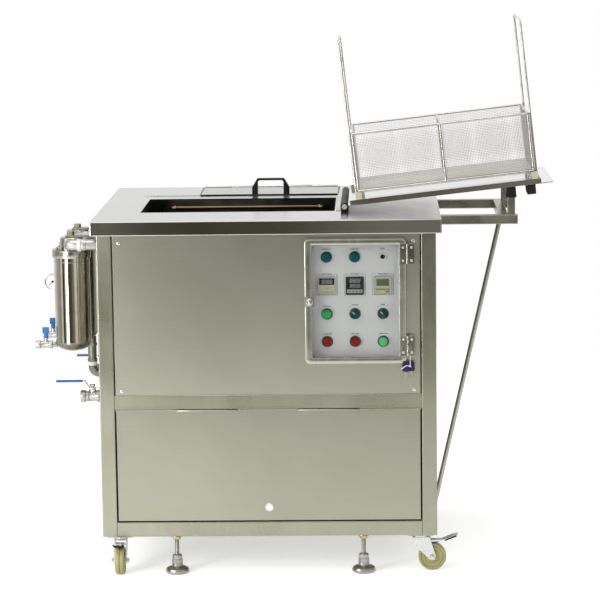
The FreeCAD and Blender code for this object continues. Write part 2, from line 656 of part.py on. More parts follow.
def window_leaves(moving):
    """Hinge leaves: the door's carry the middle knuckle, the panel's carry the outer knuckles and the pin."""
    leaves = []
    third = HINGE_HEIGHT / 3.0
    reach = HINGE_PIN_DIA / 2.0
    for middle in HINGE_PLACES:
        pin_at = V(WINDOW_PIN.x, WINDOW_PIN.y, middle)
        if moving:
            leaf = block(pin_at.x - reach - HINGE_LEAF, pin_at.x, WINDOW_FRONT - 1.5, WINDOW_FRONT,
                         middle - third / 2.0 + FIT, middle + third / 2.0 - FIT)
            knuckle = rod(HINGE_PIN_DIA, pin_at - UP * (third / 2.0 - FIT), pin_at + UP * (third / 2.0 - FIT))
            knuckle = fused([knuckle, leaf])
            leaves.append(knuckle.cut(rod(3 + 2 * RUN, pin_at - UP * third, pin_at + UP * third)))
            continue
        pieces = [rod(3, pin_at - UP * third, pin_at + UP * third)]
        for z0 in (middle - 1.5 * third, middle + third / 2.0):
            pieces.append(rod(HINGE_PIN_DIA, V(pin_at.x, pin_at.y, z0), V(pin_at.x, pin_at.y, z0 + third)))
            pieces.append(block(pin_at.x, pin_at.x + reach + HINGE_LEAF, WINDOW_FRONT - 1.5, WINDOW_FRONT,
                                z0, z0 + third))
        pieces.append(block(pin_at.x + reach + 1, pin_at.x + reach + HINGE_LEAF, WINDOW_FRONT - 1.5,
                            PANEL_SETBACK, middle - 1.5 * third, middle + 1.5 * third))
        leaves.append(fused(pieces))
    return leaves


def window_hinges():
    """The panel's hinge leaves with pins, and the two keys on their tie, hanging from the lower hinge."""
    low = V(WINDOW_PIN.x, WINDOW_PIN.y, HINGE_PLACES[1] - HINGE_HEIGHT / 2.0)
    pieces = window_leaves(False)
    ring_at = V(low.x + KEY_RING_ASIDE, low.y - KEY_RING_WIRE, low.z - KEY_RING_DIA / 2.0)
    ring = Part.makeTorus(KEY_RING_DIA / 2.0, KEY_RING_WIRE / 2.0, ring_at, ACROSS)
    keys = []
    for side, lean in ((-1, -6), (1, 10)):
        face = low.y - 1.2 + 2.6 * side
        middle = V(low.x + 1 + 5 * side, face, low.z - KEY_DROP)
        head = Part.makeCylinder(KEY_HEAD_DIA / 2.0, 2.4, middle, BACKWARD)
        blade = block(middle.x - 3.5, middle.x + 3.5, face + 0.3, face + 2.1, middle.z - KEY_LENGTH, middle.z - 5)
        key = fused([head, blade])
        key.rotate(low, BACKWARD, lean)
        keys.append(key)
    return Part.makeCompound(pieces + keys + [ring.cut(keys[0]).cut(keys[1]).cut(pieces[1])])


def window_latch():
    """Turn knob of the window door with its spindle through the stile."""
    front = V(LATCH.x, WINDOW_FRONT - 3 - FIT, LATCH.z)
    knob = turned([(0, 0), (9, 0), (9, -2), (6, -3.5), (6, -11), (4.5, -12.5), (0, -12.5)], front, V(0, 1, 0))
    spindle = rod(8, V(LATCH.x, WINDOW_FRONT - 4, LATCH.z), V(LATCH.x, PANE_FRONT - FIT, LATCH.z))
    return fused([knob, spindle])


def service_door():
    """Folded sheet door of the lower compartment, with its hinge knuckles and the lock's ring."""
    edge = INNER - DOOR_GAP
    pan = block(-edge, edge, 0, DOOR_FOLD, DOOR_BOTTOM, DOOR_TOP)
    pan = pan.cut(block(-edge + SHEET, edge - SHEET, SHEET, DOOR_FOLD + 1, DOOR_BOTTOM + SHEET, DOOR_TOP - SHEET))
    bore = rod(CAM_LOCK_DIA + 2 * RUN, V(0, -5, CAM_LOCK.z), V(0, 5, CAM_LOCK.z))
    ring = turned([(CAM_LOCK_DIA / 2.0 + RUN, 0), (12, 0), (12, -2), (CAM_LOCK_DIA / 2.0 + RUN, -2.5)],
                  V(0, 0, CAM_LOCK.z), V(0, 1, 0))
    return Part.makeCompound([fused([pan.cut(bore), ring])] + door_hinge_pieces(1))


def cam_lock():
    """Lock plug with its key slot and the cam arm behind the door."""
    plug = rod(CAM_LOCK_DIA, V(0, -2.5, CAM_LOCK.z), V(0, 24, CAM_LOCK.z))
    plug = plug.cut(block(-1, 1, -3, -1, CAM_LOCK.z - 5, CAM_LOCK.z + 5))
    arm = block(-7, 7, 18, 21, CAM_LOCK.z - 30, CAM_LOCK.z + 7)
    return fused([plug, arm])


def deck_top():
    """Deck sheet with folded skirt and return lip, tank mouth, well mouth and the cover's hinge leaf."""
    x, y0, y1 = HALF + DECK_OVERHANG, -DECK_OVERHANG, CABINET_DEPTH + DECK_OVERHANG
    bottom = DECK_HEIGHT - SKIRT_HEIGHT
    body = block(-x, x, y0, y1, bottom, DECK_HEIGHT)
    body = body.makeFillet(3, edges_along(body, UP))
    hollow = block(-x + SHEET, x - SHEET, y0 + SHEET, y1 - SHEET, bottom + SHEET, DECK_UNDER)
    mouth = block(-x + SKIRT_LIP, x - SKIRT_LIP, y0 + SKIRT_LIP, y1 - SKIRT_LIP, bottom - 1, bottom + SHEET)
    deck = body.cut(hollow).cut(mouth)
    deck = deck.cut(block(TANK_LEFT, TANK_RIGHT, TANK_FRONT, TANK_BACK, DECK_UNDER - 1, DECK_HEIGHT + 1))
    deck = deck.cut(block(COVER_LEFT - COVER_GAP, COVER_RIGHT + COVER_GAP, COVER_FRONT - COVER_GAP,
                          COVER_BACK + 1, DECK_UNDER - 1, DECK_HEIGHT + 1))
    return Part.makeCompound([deck] + cover_hinge_pieces(0))


def cover_hinge_pieces(first):
    """Hinge behind the rear cover: even knuckles and pin on the deck, odd ones on the cover."""
    length = (COVER_LENGTH - 2) / 5.0
    radius = 2.8
    pieces = []
    for i in range(first, 5, 2):
        x0 = COVER_LEFT + 1 + i * length + FIT / 2.0
        x1 = x0 + length - FIT
        knuckle = rod(2 * radius, V(x0, COVER_PIN.y, COVER_PIN.z), V(x1, COVER_PIN.y, COVER_PIN.z))
        if first == 0:
            leaf = block(x0, x1, COVER_PIN.y, COVER_PIN.y + 9, DECK_HEIGHT, DECK_HEIGHT + 1.2)
        else:
            leaf = block(x0, x1, COVER_BACK - 12, COVER_PIN.y, DECK_HEIGHT + FIT, DECK_HEIGHT + FIT + 1.2)
        pieces.append(fused([knuckle, leaf]))
    ends = V(COVER_LEFT + 3, COVER_PIN.y, COVER_PIN.z), V(COVER_RIGHT - 3, COVER_PIN.y, COVER_PIN.z)
    if first == 0:
        return [fused(pieces + [rod(2.4, ends[0], ends[1])])]
    return [piece.cut(rod(2.4 + 2 * RUN, ends[0] - V(9, 0, 0), ends[1] + V(9, 0, 0))) for piece in pieces]


def rear_cover():
    """Flush lift-up cover of the overflow well, with a stiffening fold along its front edge."""
    plate = block(COVER_LEFT, COVER_RIGHT, COVER_FRONT, COVER_BACK, DECK_UNDER + FIT, DECK_HEIGHT + FIT)
    return Part.makeCompound([plate] + cover_hinge_pieces(1))


def bow_handle(centre, depth):
    """Bow handle along X: upright inner sides, shoulders that slope in to a thin top bar."""
    half, top = BOW_SPAN / 2.0, BOW_TOP / 2.0
    outline = [V(-half, 0, 0), V(-half, 0, BOW_SHOULDER), V(-top, 0, BOW_RISE), V(top, 0, BOW_RISE),
               V(half, 0, BOW_SHOULDER), V(half, 0, 0)]
    bow = prism(outline, V(0, depth, 0))
    inside = BOW_OPENING / 2.0
    gap = rounded_block(-inside, inside, -1, depth + 1, -20, BOW_RISE - BOW_BAR, BACKWARD, 8)
    bow = bow.cut(gap)
    bow.translate(V(0, -depth / 2.0, 0))
    rims = [e for e in bow.Edges if abs(abs(e.CenterOfMass.y) - depth / 2.0) < 0.01 and e.CenterOfMass.z > 1]
    bow = bow.makeFillet(1.2, rims)
    bow.translate(centre)
    return bow


def rear_cover_handle():
    return bow_handle(V((COVER_LEFT + COVER_RIGHT) / 2.0 + 4, COVER_FRONT + 37, DECK_HEIGHT + FIT), BOW_DEPTH)


# ---- tank, well and what hangs under them --------------------------------------------------------
def open_box(x0, x1, y0, y1, z0, z1, wall, flange):
    """Welded sheet vessel, open at the top, with a flange turned out under the deck."""
    outer = block(x0 - wall, x1 + wall, y0 - wall, y1 + wall, z0 - wall, z1)
    rim = block(x0 - flange, x1 + flange, y0 - flange, y1 + flange, z1 - wall, z1)
    inner = block(x0, x1, y0, y1, z0, z1 + 1)
    return fused([outer, rim]).cut(inner.makeFillet(6, edges_along(inner, UP)))


def tank_liner():
    """Ultrasonic tank with the return tube clipped along its back wall."""
    tank = open_box(TANK_LEFT, TANK_RIGHT, TANK_FRONT, TANK_BACK, DECK_UNDER - TANK_DEPTH, DECK_UNDER, SHEET, 20)
    middle = (TANK_LEFT + TANK_RIGHT) / 2.0 + 12
    half = RETURN_TUBE_LENGTH / 2.0
    y = TANK_BACK - RETURN_TUBE_DIA / 2.0 - 6
    z = DECK_HEIGHT - RETURN_TUBE_DROP
    pipe = rod(RETURN_TUBE_DIA, V(middle - half, y, z), V(middle + half, y, z))
    clips = []
    for x in (middle - half + 5, middle + half - 5):
        clips.append(block(x - 4, x + 4, y - 5, TANK_BACK + 0.5, z - 9, z + 9))
    return fused([tank, pipe] + clips)


def overflow_well():
    """Filter well behind the tank, with the ledge that the rear cover lies on."""
    x0, x1 = COVER_LEFT + WELL_LEDGE, COVER_RIGHT - WELL_LEDGE
    y0, y1 = COVER_FRONT + WELL_LEDGE, COVER_BACK - WELL_LEDGE
    return open_box(x0, x1, y0, y1, DECK_UNDER - WELL_DEPTH, DECK_UNDER, SHEET, WELL_LEDGE + 14)


def transducers():
    """Eight ultrasonic transducers bonded under the tank: horn, ring stack and tail mass."""
    top = DECK_UNDER - TANK_DEPTH - SHEET
    r = TRANSDUCER_DIA / 2.0
    h = TRANSDUCER_HEIGHT
    profile = [(0, 0), (r, 0), (r, -0.3 * h), (0.6 * r, -0.5 * h), (0.6 * r, -0.6 * h), (0.75 * r, -0.62 * h),
               (0.75 * r, -0.8 * h), (0.6 * r, -0.82 * h), (0.6 * r, -h), (0, -h)]
    pieces = []
    for i in range(4):
        for j in range(2):
            x = TANK_LEFT + TANK_LENGTH * (i + 0.5) / 4.0
            y = TANK_FRONT + TANK_WIDTH * (j + 0.5) / 2.0
            pieces.append(turned(profile, V(x, y, top), UP))
    return Part.makeCompound(pieces)


def generator_box():
    """Ultrasonic generator: sheet case with a finned heat sink on its left side."""
    wide, deep, high = GENERATOR_SIZE
    x0, y0 = HALF - GENERATOR_FROM_RIGHT - wide, CABINET_DEPTH - GENERATOR_FROM_BACK - deep
    z0 = RAIL_TOP + SHEET
    pieces = [block(x0, x0 + wide, y0, y0 + deep, z0, z0 + high)]
    for i in range(GENERATOR_FINS):
        y = y0 + FIN_MARGIN + i * (deep - 2 * FIN_MARGIN) / GENERATOR_FINS
        pieces.append(block(x0 - FIN_DEPTH, x0 + 1, y, y + FIN_THICK, z0 + FIN_MARGIN, z0 + high - FIN_MARGIN))
    return fused(pieces)


def circulation_pump():
    """Centrifugal pump with its motor on a foot, suction pipe from the well and pressure pipe."""
    x, y, z = -HALF + PUMP_FROM_LEFT, PUMP_FROM_FRONT, PUMP_AXIS_Z
    axis, start = V(1, 0, 0), V(x, y, z)
    r, wheel, eye = MOTOR_DIA / 2.0, VOLUTE_DIA / 2.0, VOLUTE_EYE / 2.0
    volute = turned([(0, 0), (eye, 0), (wheel, VOLUTE_BEVEL), (wheel, VOLUTE_WIDTH - VOLUTE_BEVEL),
                     (eye, VOLUTE_WIDTH), (0, VOLUTE_WIDTH)], start, axis)
    near, far = VOLUTE_WIDTH + MOTOR_GAP, VOLUTE_WIDTH + MOTOR_GAP + MOTOR_LENGTH
    motor = turned([(0, VOLUTE_WIDTH - 1), (eye - 5, VOLUTE_WIDTH - 1), (r, near), (r, far - MOTOR_DOME),
                    (r - MOTOR_DOME / 4.0, far), (0, far)], start, axis)
    foot = block(x + MOTOR_FOOT[0], x + MOTOR_FOOT[1], y - MOTOR_FOOT_WIDTH / 2.0, y + MOTOR_FOOT_WIDTH / 2.0,
                 RAIL_TOP + SHEET, z - r * 0.9)
    terminal = block(x + TERMINAL_BOX[0], x + TERMINAL_BOX[1], y - TERMINAL_WIDTH / 2.0, y + TERMINAL_WIDTH / 2.0,
                     z + r * 0.9, z + r + TERMINAL_RISE)
    out, back, into = x - SUCTION_OUT, CABINET_DEPTH - SUCTION_FROM_BACK, COVER_LEFT + SUCTION_IN_WELL
    suction = bent_rod(RETURN_PIPE_DIA, [V(x + 1, y, z), V(out, y, z), V(out, back, z), V(into, back, z),
                                         V(into, back, DECK_UNDER - WELL_DEPTH - SHEET)],
                       [PIPE_BEND, SUCTION_BEND, SUCTION_BEND])
    inlet_y, riser_x = FILTER_ROWS[1] - PORT_REACH, -HALF + PIPE_ENTRY + RISER_IN
    outlet = V(x + VOLUTE_WIDTH / 2.0, y + OUTLET_BACK, z)
    high = z + PRESSURE_RISE
    pressure = bent_rod(RETURN_PIPE_DIA, [outlet, V(outlet.x, outlet.y, high), V(riser_x, outlet.y, high),
                                          V(riser_x, inlet_y, high), V(riser_x, inlet_y, PORT_Z),
                                          V(-HALF + PIPE_ENTRY, inlet_y, PORT_Z)],
                        [PIPE_BEND, PIPE_BEND, PIPE_BEND, RISER_BEND])
    return fused([volute, motor, foot, terminal, suction, pressure])


# ---- drain board (lid), its hinge, basket and bracket ----------------------------------------------
def lid_panel():
    """The lid: flat sheet, walls on three sides that make it a drain board when open, and a plain end lip."""
    y0, y1 = LID_FRONT, LID_BACK
    panel = block(BARREL_SLEEVE_DIA / 2.0 + 0.2, LID_LENGTH, y0, y1, 0, LID_SHEET)
    panel = panel.makeFillet(4, [e for e in edges_along(panel, UP) if e.CenterOfMass.x > LID_PAN_LENGTH])
    wall = 1.5
    walls = [block(LID_PAN_START, LID_PAN_LENGTH, y0, y0 + wall, 0, LID_WALL),
             block(LID_PAN_START, LID_PAN_LENGTH, y1 - wall, y1, 0, LID_WALL),
             block(LID_PAN_LENGTH - wall, LID_PAN_LENGTH, y0, y1, 0, LID_WALL)]
    return on_lid(fused([panel] + walls))


def lid_handle():
    """Bow handle on the outside of the lid, which is its underside while it is open."""
    bow = bow_handle(V(0, 0, 0), BOW_DEPTH)
    bow.rotate(V(0, 0, 0), UP, 90)
    bow.rotate(V(0, 0, 0), V(0, 1, 0), 180)
    bow.translate(V(LID_HANDLE_AT, LID_MIDDLE, 0))
    return on_lid(bow)


def sleeve_spans():
    """The two hinge sleeves along Y, either side of the middle lug."""
    gap = MID_LUG_THICK / 2.0 + FIT
    return ((LID_FRONT, LID_MIDDLE - gap), (LID_MIDDLE + gap, LID_BACK))


def lid_hinge_barrel():
    """Black sleeves fixed along the lid's edge, bored for the hinge pin."""
    pieces = []
    for y0, y1 in sleeve_spans():
        sleeve = rod(BARREL_SLEEVE_DIA, V(0, y0, 0), V(0, y1, 0))
        rims = [e for e in sleeve.Edges if e.Closed and len(e.Vertexes) == 1]
        sleeve = sleeve.makeFillet(2, rims)
        pieces.append(on_lid(sleeve.cut(rod(LID_PIN_DIA + 2 * RUN, V(0, y0 - 1, 0), V(0, y1 + 1, 0)))))
    return Part.makeCompound(pieces)


def lid_hinge_base():
    """Base strip, three lugs, the long pin and its end nuts, fixed on the deck beside the tank mouth."""
    radius = BARREL_SLEEVE_DIA / 2.0
    spans = ((LID_FRONT - FIT - LUG_THICK, LUG_THICK), (LID_MIDDLE - MID_LUG_THICK / 2.0, MID_LUG_THICK),
             (LID_BACK + FIT, LUG_THICK))
    pieces = [rod(LID_PIN_DIA, V(HINGE_X, LID_FRONT - LUG_THICK - 4, LID_AXIS.z),
                  V(HINGE_X, LID_BACK + LUG_THICK + 4, LID_AXIS.z))]
    for y0, thick in spans:
        pieces.append(block(HINGE_X - radius, HINGE_X + radius, y0, y0 + thick, DECK_HEIGHT, LID_AXIS.z))
        pieces.append(Part.makeCylinder(radius, thick, V(HINGE_X, y0, LID_AXIS.z), V(0, 1, 0)))
    pin_and_lugs = fused(pieces)
    strip = block(TANK_RIGHT + 3, HINGE_X - radius - 2, TANK_FRONT, TANK_BACK + 12, DECK_HEIGHT, DECK_HEIGHT + 1.5)
    nut = hexagon(13, V(0, 0, 0), 7)
    nut.rotate(V(0, 0, 0), V(1, 0, 0), 90)
    nut.translate(V(HINGE_X, LID_FRONT - FIT - LUG_THICK, LID_AXIS.z))
    far_nut = nut.copy()
    far_nut.translate(V(0, LID_DEPTH + 2 * LUG_THICK + 2 * FIT + 7, 0))
    pin = rod(LID_PIN_DIA, V(HINGE_X, 0, LID_AXIS.z), V(HINGE_X, CABINET_DEPTH, LID_AXIS.z))
    return Part.makeCompound([pin_and_lugs, strip, nut.cut(pin), far_nut.cut(pin)])


def basket_corners():
    """Rod centres of the basket's outline on the lid: ends along it, sides across it."""
    return (BASKET_START, BASKET_START + BASKET_LENGTH), (BASKET_FRONT, BASKET_FRONT + BASKET_DEPTH)


def rod_ring(height, bend):
    """A closed ring of basket rod bent at its four corners."""
    (u0, u1), (y0, y1) = basket_corners()
    middle = (u0 + u1) / 2.0
    points = [V(middle, y0, height), V(u1, y0, height), V(u1, y1, height), V(u0, y1, height), V(u0, y0, height),
              V(middle, y0, height)]
    return bent_rod(BASKET_ROD, points, [bend] * 4)


def basket_frame():
    """Bent rod rings at rim and floor, joined by corner rods and a middle hoop."""
    (u0, u1), (y0, y1) = basket_corners()
    low, high = BASKET_BOTTOM, BASKET_BOTTOM + BASKET_HEIGHT
    pieces = [rod_ring(low, BASKET_BEND), rod_ring(high, BASKET_BEND)]
    inset = BASKET_CORNER_INSET
    for u in (u0 + inset, u1 - inset):
        for y in (y0 + inset, y1 - inset):
            pieces.append(rod(BASKET_ROD, V(u, y, low), V(u, y, high)))
    middle = (u0 + u1) / 2.0
    for y in (y0, y1):
        pieces.append(rod(BASKET_ROD, V(middle, y, low), V(middle, y, high)))
    pieces.append(rod(BASKET_ROD, V(middle, y0, high), V(middle, y1, high)))
    return on_lid(fused(pieces))


def basket_handles():
    """Two tall carrying loops of bent rod, welded outside the basket's ends."""
    (u0, u1), (y0, y1) = basket_corners()
    foot = BASKET_BOTTOM - BASKET_ROD / 2.0
    loops = []
    for u in (u0 - BASKET_ROD, u1 + BASKET_ROD):
        near, far = y0 + BASKET_ROD, y1 - BASKET_ROD
        points = [V(u, near, foot), V(u, near, BASKET_LOOP_TOP), V(u, far, BASKET_LOOP_TOP), V(u, far, foot)]
        loops.append(on_lid(bent_rod(BASKET_ROD, points, [BASKET_LOOP_BEND] * 2)))
    return Part.makeCompound(loops)


def grid_panel(length, width):
    """Flat mesh panel in its own plane, X by Y: one sheet with a pattern of square holes."""
    panel = Part.makeBox(length, width, MESH_THICK)
    columns = int((length - MESH_BAR) // MESH_PITCH)
    rows = int((width - MESH_BAR) // MESH_PITCH)
    step_x = (length - MESH_BAR) / columns
    step_y = (width - MESH_BAR) / rows
    holes = []
    for i in range(columns):
        for j in range(rows):
            holes.append(Part.makeBox(step_x - MESH_BAR, step_y - MESH_BAR, MESH_THICK + 2,
                                      V(MESH_BAR + i * step_x, MESH_BAR + j * step_y, -1)))
    return panel.cut(Part.makeCompound(holes))


def basket_mesh():
    """Woven mesh walls and floor, drawn as coarse grids inside the rod frame."""
    (u0, u1), (y0, y1) = basket_corners()
    r = BASKET_ROD / 2.0 + MESH_GAP
    low = BASKET_BOTTOM + r
    length, width = BASKET_LENGTH - 2 * r, BASKET_DEPTH - 2 * r
    height = BASKET_HEIGHT - 2 * r
    turn_x = FreeCAD.Rotation(V(1, 0, 0), 90)
    turn_z = FreeCAD.Rotation(V(0, 0, 1), 90).multiply(turn_x)
    floor = grid_panel(length, width)
    floor.Placement = FreeCAD.Placement(V(u0 + r, y0 + r, low), FreeCAD.Rotation())
    pieces = [floor]
    for y in (y0 + r + MESH_THICK, y1 - r):
        side = grid_panel(length, height - MESH_THICK)
        side.Placement = FreeCAD.Placement(V(u0 + r, y, low + MESH_THICK), turn_x)
        pieces.append(side)
    for u in (u0 + r, u1 - r - MESH_THICK):
        end = grid_panel(width - 2 * MESH_THICK, height - MESH_THICK)
        end.Placement = FreeCAD.Placement(V(u, y0 + r + MESH_THICK, low + MESH_THICK), turn_z)
        pieces.append(end)
    return Part.makeCompound([on_lid(p) for p in pieces])


def basket_feet():
    """Nylon blocks under the corners of the basket."""
    (u0, u1), (y0, y1) = basket_corners()
    side = BASKET_FOOT
    feet = []
    for u in (u0, u1):
        for y in (y0, y1):
            feet.append(on_lid(rounded_block(u - side / 2.0, u + side / 2.0, y - side / 2.0, y + side / 2.0,
                                             LID_SHEET + FIT, BASKET_BOTTOM - BASKET_ROD / 2.0, UP, 2)))
    return Part.makeCompound(feet)


def bracket_rows():
    """Front faces of the two bracket arms, under the lid's front and back edges."""
    return LID_FRONT, LID_BACK - BRACKET_TUBE


def lid_bracket():
    """Welded bracket: two arms, a cross tube between them and a short post at each end."""
    x0 = HALF + DECK_OVERHANG
    z0, z1 = BRACKET_TOP - BRACKET_TUBE, BRACKET_TOP
    pieces = []
    for y in bracket_rows():
        pieces.append(rounded_block(x0, x0 + BRACKET_REACH, y, y + BRACKET_TUBE, z0, z1, V(1, 0, 0), 2))
        px, py = x0 + POST_AT, y + BRACKET_TUBE / 2.0
        pieces.append(rounded_block(px - POST_TUBE / 2.0, px + POST_TUBE / 2.0, py - POST_TUBE / 2.0,
                               py + POST_TUBE / 2.0, z1 - 1, POST_TOP, UP, 2))
    front, back = bracket_rows()
    cross = x0 + BRACKET_CROSS_AT
    pieces.append(rounded_block(cross, cross + BRACKET_TUBE, front + BRACKET_TUBE, back,
                           z0, z1, V(0, 1, 0), 2))
    return fused(pieces)


def bracket_caps():
    """Rubber caps over the posts, tapered, with tops cut to the slope of the open lid."""
    px = HALF + DECK_OVERHANG + POST_AT
    lid_under = LID_AXIS.z + (px - LID_AXIS.x) * math.tan(math.radians(LID_TILT))
    caps = []
    for y in bracket_rows():
        py = y + BRACKET_TUBE / 2.0
        wide, narrow = POST_TUBE / 2.0 + CAP_OVER, POST_TUBE / 2.0 + 1
        base = Part.makePolygon([V(px + a * wide, py + b * (POST_TUBE / 2.0 + 2.4), POST_TOP - CAP_BITE)
                                 for a, b in ((-1, -1), (1, -1), (1, 1), (-1, 1), (-1, -1))])
        top = Part.makePolygon([V(px + a * narrow, py + b * POST_TUBE / 2.0, lid_under + 6)
                                for a, b in ((-1, -1), (1, -1), (1, 1), (-1, 1), (-1, -1))])
        cap = Part.makeLoft([base, top], True)
        above = on_lid(block(0, LID_LENGTH, 0, CABINET_DEPTH, -0.2, 60))
        post = block(px - POST_TUBE / 2.0, px + POST_TUBE / 2.0, py - POST_TUBE / 2.0, py + POST_TUBE / 2.0,
                     POST_TOP - CAP_BITE - 1, POST_TOP)
        caps.append(cap.cut(above).cut(post))
    return Part.makeCompound(caps)


def bracket_brace():
    """Diagonal brace from the cross tube to the cabinet's side, with a bolted foot."""
    x0 = HALF + DECK_OVERHANG
    top = V(x0 + BRACKET_CROSS_AT + BRACKET_TUBE / 2.0, LID_MIDDLE, BRACKET_TOP - BRACKET_TUBE)
    foot = V(HALF + BRACE_PLATE, LID_MIDDLE, BRACE_FOOT_Z)
    run = (top - foot).normalize()
    bar = rod(BRACE_DIA, foot, top + run * BRACE_DIA)
    bar = bar.cut(block(HALF, x0 + BRACKET_REACH, 0, CABINET_DEPTH, top.z, top.z + 2 * BRACE_DIA))
    bar = bar.cut(block(0, HALF, 0, CABINET_DEPTH, 0, DECK_HEIGHT))
    reach = BRACE_DIA + 2
    plate = rounded_block(HALF, HALF + BRACE_PLATE, LID_MIDDLE - reach, LID_MIDDLE + reach,
                          BRACE_FOOT_Z - reach, BRACE_FOOT_Z + reach - 3, ACROSS, BRACE_PLATE - 1)
    bolt_y, bolt_z = LID_MIDDLE + BRACE_BOLT_DIA, BRACE_FOOT_Z - BRACE_BOLT_DIA + 1
    bolt = rod(BRACE_BOLT_DIA, V(HALF + BRACE_PLATE, bolt_y, bolt_z), V(HALF + 2 * BRACE_PLATE, bolt_y, bolt_z))
    return fused([bar, plate, bolt])


# ---- castors and feet ---------------------------------------------------------------------------
def at_castor(shape, name):
    """Turns a castor piece, drawn trailing along +X from its swivel line, and puts it in its corner."""
    moved = shape.copy()
    moved.rotate(V(0, 0, 0), UP, CASTOR_TURNS[name])
    moved.translate(CASTOR_AXES[name])
    return moved


def castor_fork(name):
    """Swivel head, bent fork plates, axle bolt with nuts, and on a braked castor the pedal's pin."""
    under = FRAME_BOTTOM - CASTOR_PLATE_THICK - FIT
    crown = turned([(0, under - 9), (CROWN_DIA / 2.0 - 5, under - 9), (CROWN_DIA / 2.0, under - 5),
                    (CROWN_DIA / 2.0, under - 2), (CROWN_DIA / 2.0 - 3, under), (0, under)], V(0, 0, 0), UP)
    bridge = block(-22, 16, -FORK_GAP / 2.0 - FORK_PLATE, FORK_GAP / 2.0 + FORK_PLATE, under - 13, under - 8)
    pieces = [crown, bridge]
    for side in (-1, 1):
        inner = side * FORK_GAP / 2.0
        outline = [V(-22, inner, under - 8), V(25, inner, under - 8), V(CASTOR_TRAIL + 9, inner, WHEEL_R + 4),
                   V(CASTOR_TRAIL + 6, inner, WHEEL_R - 8), V(CASTOR_TRAIL - 6, inner, WHEEL_R - 8),
                   V(-22, inner, under - 24)]
        pieces.append(prism(outline, V(0, side * FORK_PLATE, 0)))
    outside = FORK_GAP / 2.0 + FORK_PLATE
    pieces.append(rod(AXLE_DIA, V(CASTOR_TRAIL, -outside - 4, WHEEL_R), V(CASTOR_TRAIL, outside + 4, WHEEL_R)))
    for y in (-outside - 5, outside):
        nut = hexagon(13, V(0, 0, 0), 5)
        nut.rotate(V(0, 0, 0), V(1, 0, 0), -90)
        nut.translate(V(CASTOR_TRAIL, y, WHEEL_R))
        pieces.append(nut)
    if name in BRAKED:
        pieces.append(rod(5, V(PEDAL_PIN.x, -outside, PEDAL_PIN.z), V(PEDAL_PIN.x, outside, PEDAL_PIN.z)))
    return at_castor(fused(pieces), name)


def castor_wheel(name):
    """Solid nylon wheel with rounded tread and a raised hub, bored for the axle."""
    half, hub = WHEEL_WIDTH / 2.0, WHEEL_HUB_WIDTH / 2.0
    bore, hub_r = AXLE_DIA / 2.0 + RUN, WHEEL_HUB_DIA / 2.0
    profile = [(bore, -hub), (hub_r - 2, -hub), (hub_r, -hub + 2), (hub_r + 3, -half + 2), (WHEEL_R - 10, -half + 2),
               (WHEEL_R - 7, -half), (WHEEL_R - 3, -half), (WHEEL_R - 1, -half + 2), (WHEEL_R, -half + 5),
               (WHEEL_R, half - 5), (WHEEL_R - 1, half - 2), (WHEEL_R - 3, half), (WHEEL_R - 7, half),
               (WHEEL_R - 10, half - 2), (hub_r + 3, half - 2), (hub_r, hub - 2), (hub_r - 2, hub), (bore, hub)]
    return at_castor(turned(profile, V(CASTOR_TRAIL, 0, WHEEL_R), V(0, 1, 0)), name)


def brake_pedal(name):
    """Foot pedal bent up clear of the wheel, with its pad and the barrel on the fork's pin."""
    half = PEDAL_WIDTH / 2.0
    thick = 2.5
    flat, top = PEDAL_PIN.z + 2, PEDAL_PIN.z + 15
    outline = [V(PEDAL_PIN.x, -half, flat), V(60, -half, flat), V(PEDAL_REACH, -half, top),
               V(PEDAL_REACH, -half, top + thick), V(59, -half, flat + thick), V(PEDAL_PIN.x, -half, flat + thick)]
    plate = prism(outline, V(0, PEDAL_WIDTH, 0))
    barrel = rod(9, V(PEDAL_PIN.x, -half, PEDAL_PIN.z), V(PEDAL_PIN.x, half, PEDAL_PIN.z))
    pad = block(33, 48, -half + 2, half - 2, flat - 2.5, flat + 1)
    bore = rod(5 + 2 * RUN, V(PEDAL_PIN.x, -40, PEDAL_PIN.z), V(PEDAL_PIN.x, 40, PEDAL_PIN.z))
    return at_castor(fused([plate, barrel, pad]).cut(bore), name)


def foot_places():
    """Centres of the levelling feet, under the middle of the front and back rails."""
    return [V(x, y, 0) for y in (TUBE / 2.0, CABINET_DEPTH - TUBE / 2.0) for x in (-FOOT_X, FOOT_X)]


def levelling_feet():
    """Four screw feet: domed pad, hexagon collar, lock nut and stem up into the rail."""
    r, high = FOOT_PAD_DIA / 2.0, FOOT_PAD_HEIGHT
    stem = FOOT_STEM_DIA / 2.0
    stem_top = RAIL_TOP - 6
    profile = [(0, 0), (r - 1, 0), (r, 2), (r, 9), (r - 4, 14), (0.55 * r, high - 6), (0.45 * r, high), (0, high)]
    feet = []
    for place in foot_places():
        pad = turned(profile, place, UP)
        collar = hexagon(FOOT_NUT, place + UP * (high - 0.5), 25)
        lock = hexagon(19, place + UP * (FRAME_BOTTOM - FIT - 8), 8)
        screw = Part.makeCylinder(stem, stem_top - high, place + UP * high)
        feet.append(fused([pad, collar, screw, lock]))
    return Part.makeCompound(feet)


